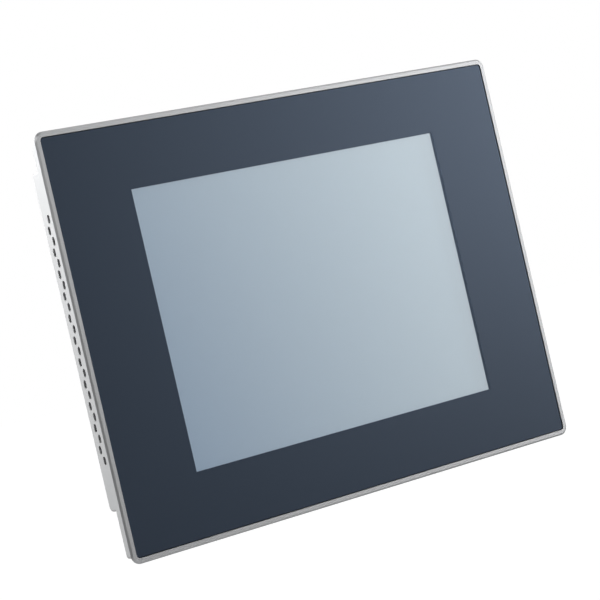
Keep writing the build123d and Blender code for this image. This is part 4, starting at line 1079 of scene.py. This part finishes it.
class TOUCH_PANEL_OT_stage(bpy.types.Operator):
    """Set up the camera, the lamps, the floor and the white surroundings"""

    bl_idname = "touch_panel.stage"
    bl_label = "Camera, floor and lamps"

    def execute(self, context):
        scene = context.scene
        self.add_camera(scene, Vector((0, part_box("front_glass")[0].y, 0)))
        self.add_floor(scene, cad_bounds[0].z - scene.panel_sizes.floor_drop)
        self.add_world(scene)
        for name, place, aim, span, power in LAMPS:
            self.add_lamp(scene, name, Vector(place), Vector(aim), span, power)
        scene.view_settings.view_transform = "Standard"
        return {"FINISHED"}

    def add_camera(self, scene, glass_centre):
        camera = bpy.data.cameras.new("camera")
        camera.sensor_width = 36.0
        camera.lens = CAMERA_LENS
        holder = bpy.data.objects.new("camera", camera)
        right = Vector(CAMERA_RIGHT).normalized()
        forward = Vector(CAMERA_FORWARD).normalized()
        up = right.cross(forward).normalized()
        right = forward.cross(up).normalized()
        turn = Matrix((right, up, -forward)).transposed()
        holder.matrix_world = Matrix.Translation(glass_centre + Vector(CAMERA_PLACE)) @ turn.to_4x4()
        scene.collection.objects.link(holder)
        scene.camera = holder

    def add_floor(self, scene, height):
        mesh = bpy.data.meshes.new("floor")
        signs = ((-1, -1), (1, -1), (1, 1), (-1, 1))
        corners = [(x * FLOOR_HALF, y * FLOOR_HALF, height) for x, y in signs]
        mesh.from_pydata(corners, [], [(0, 1, 2, 3)])
        floor = bpy.data.objects.new("floor", mesh)
        scene.collection.objects.link(floor)
        material = bpy.data.materials.new("pale_floor")
        tree = empty_tree(material)
        matt = add_node(tree, "ShaderNodeBsdfDiffuse", {"Color": (0.8, 0.8, 0.8, 1)})
        white = add_node(tree, "ShaderNodeEmission", {"Color": (1, 1, 1, 1), "Strength": FLOOR_WHITE})
        seen = add_node(tree, "ShaderNodeLightPath", output="Is Camera Ray") * FLOOR_WHITE_SHARE
        mixed = add_node(tree, "ShaderNodeMixShader", {0: seen, 1: matt, 2: white})
        add_node(tree, "ShaderNodeOutputMaterial", {"Surface": mixed})
        mesh.materials.append(material)

    def add_world(self, scene):
        """Soft light from all round with broad glows, seen by the camera as plain white."""
        world = bpy.data.worlds.new("studio")
        scene.world = world
        tree = empty_tree(world)
        direction = add_node(tree, "ShaderNodeTexCoord", output="Generated")
        level = WORLD_BASE
        for aim, sharpness, strength in WORLD_GLOWS:
            ends = {0: direction, 1: Vector(aim).normalized()}
            towards = add_node(tree, "ShaderNodeVectorMath", ends, "Value", operation="DOT_PRODUCT")
            level = calc("POWER", (towards + 1.0) * 0.5, sharpness) * strength + level
        soft = add_node(tree, "ShaderNodeBackground", {"Color": (1, 1, 1, 1), "Strength": level})
        white = add_node(tree, "ShaderNodeBackground", {"Color": (1, 1, 1, 1), "Strength": 1.0})
        seen = add_node(tree, "ShaderNodeLightPath", output="Is Camera Ray")
        mixed = add_node(tree, "ShaderNodeMixShader", {0: seen, 1: soft, 2: white})
        add_node(tree, "ShaderNodeOutputWorld", {"Surface": mixed})

    def add_lamp(self, scene, name, place, aim, span, power):
        lamp = bpy.data.lights.new(name, "AREA")
        lamp.shape = "RECTANGLE"
        lamp.size, lamp.size_y = span
        lamp.energy = power
        holder = bpy.data.objects.new(name, lamp)
        holder.location = place
        holder.rotation_mode = "QUATERNION"
        holder.rotation_quaternion = (aim - place).to_track_quat("-Z", "Y")
        holder.visible_camera = False
        scene.collection.objects.link(holder)


STEPS = [
    TOUCH_PANEL_OT_front, TOUCH_PANEL_OT_display, TOUCH_PANEL_OT_housing, TOUCH_PANEL_OT_boards,
    TOUCH_PANEL_OT_sockets, TOUCH_PANEL_OT_screws, TOUCH_PANEL_OT_threads, TOUCH_PANEL_OT_controls,
    TOUCH_PANEL_OT_marks, TOUCH_PANEL_OT_stage,
]


class TOUCH_PANEL_PT_sidebar(bpy.types.Panel):
    """Lists the steps in order, with the sizes and colours they use"""

    bl_idname = "TOUCH_PANEL_PT_sidebar"
    bl_label = "Touch Panel"
    bl_space_type = "VIEW_3D"
    bl_region_type = "UI"
    bl_category = "Touch Panel"

    def draw(self, context):
        for settings in (context.scene.panel_sizes, context.scene.panel_colours):
            group = self.layout.box()
            for name in type(settings).__annotations__:
                group.prop(settings, name)
        for step in STEPS:
            self.layout.operator(step.bl_idname)


CLASSES = [PanelSizes, PanelColours, *STEPS, TOUCH_PANEL_PT_sidebar]


def register():
    for cls in CLASSES:
        bpy.utils.register_class(cls)
    bpy.types.Scene.panel_sizes = bpy.props.PointerProperty(type=PanelSizes)
    bpy.types.Scene.panel_colours = bpy.props.PointerProperty(type=PanelColours)


def unregister():
    del bpy.types.Scene.panel_colours
    del bpy.types.Scene.panel_sizes
    for cls in reversed(CLASSES):
        bpy.utils.unregister_class(cls)


def main():
    register()
    bpy.ops.touch_panel.front()
    bpy.ops.touch_panel.display()
    bpy.ops.touch_panel.housing()
    bpy.ops.touch_panel.boards()
    bpy.ops.touch_panel.sockets()
    bpy.ops.touch_panel.screws()
    bpy.ops.touch_panel.threads()
    bpy.ops.touch_panel.controls()
    bpy.ops.touch_panel.marks()
    bpy.ops.touch_panel.stage()


if __name__ == "__main__":
    main()
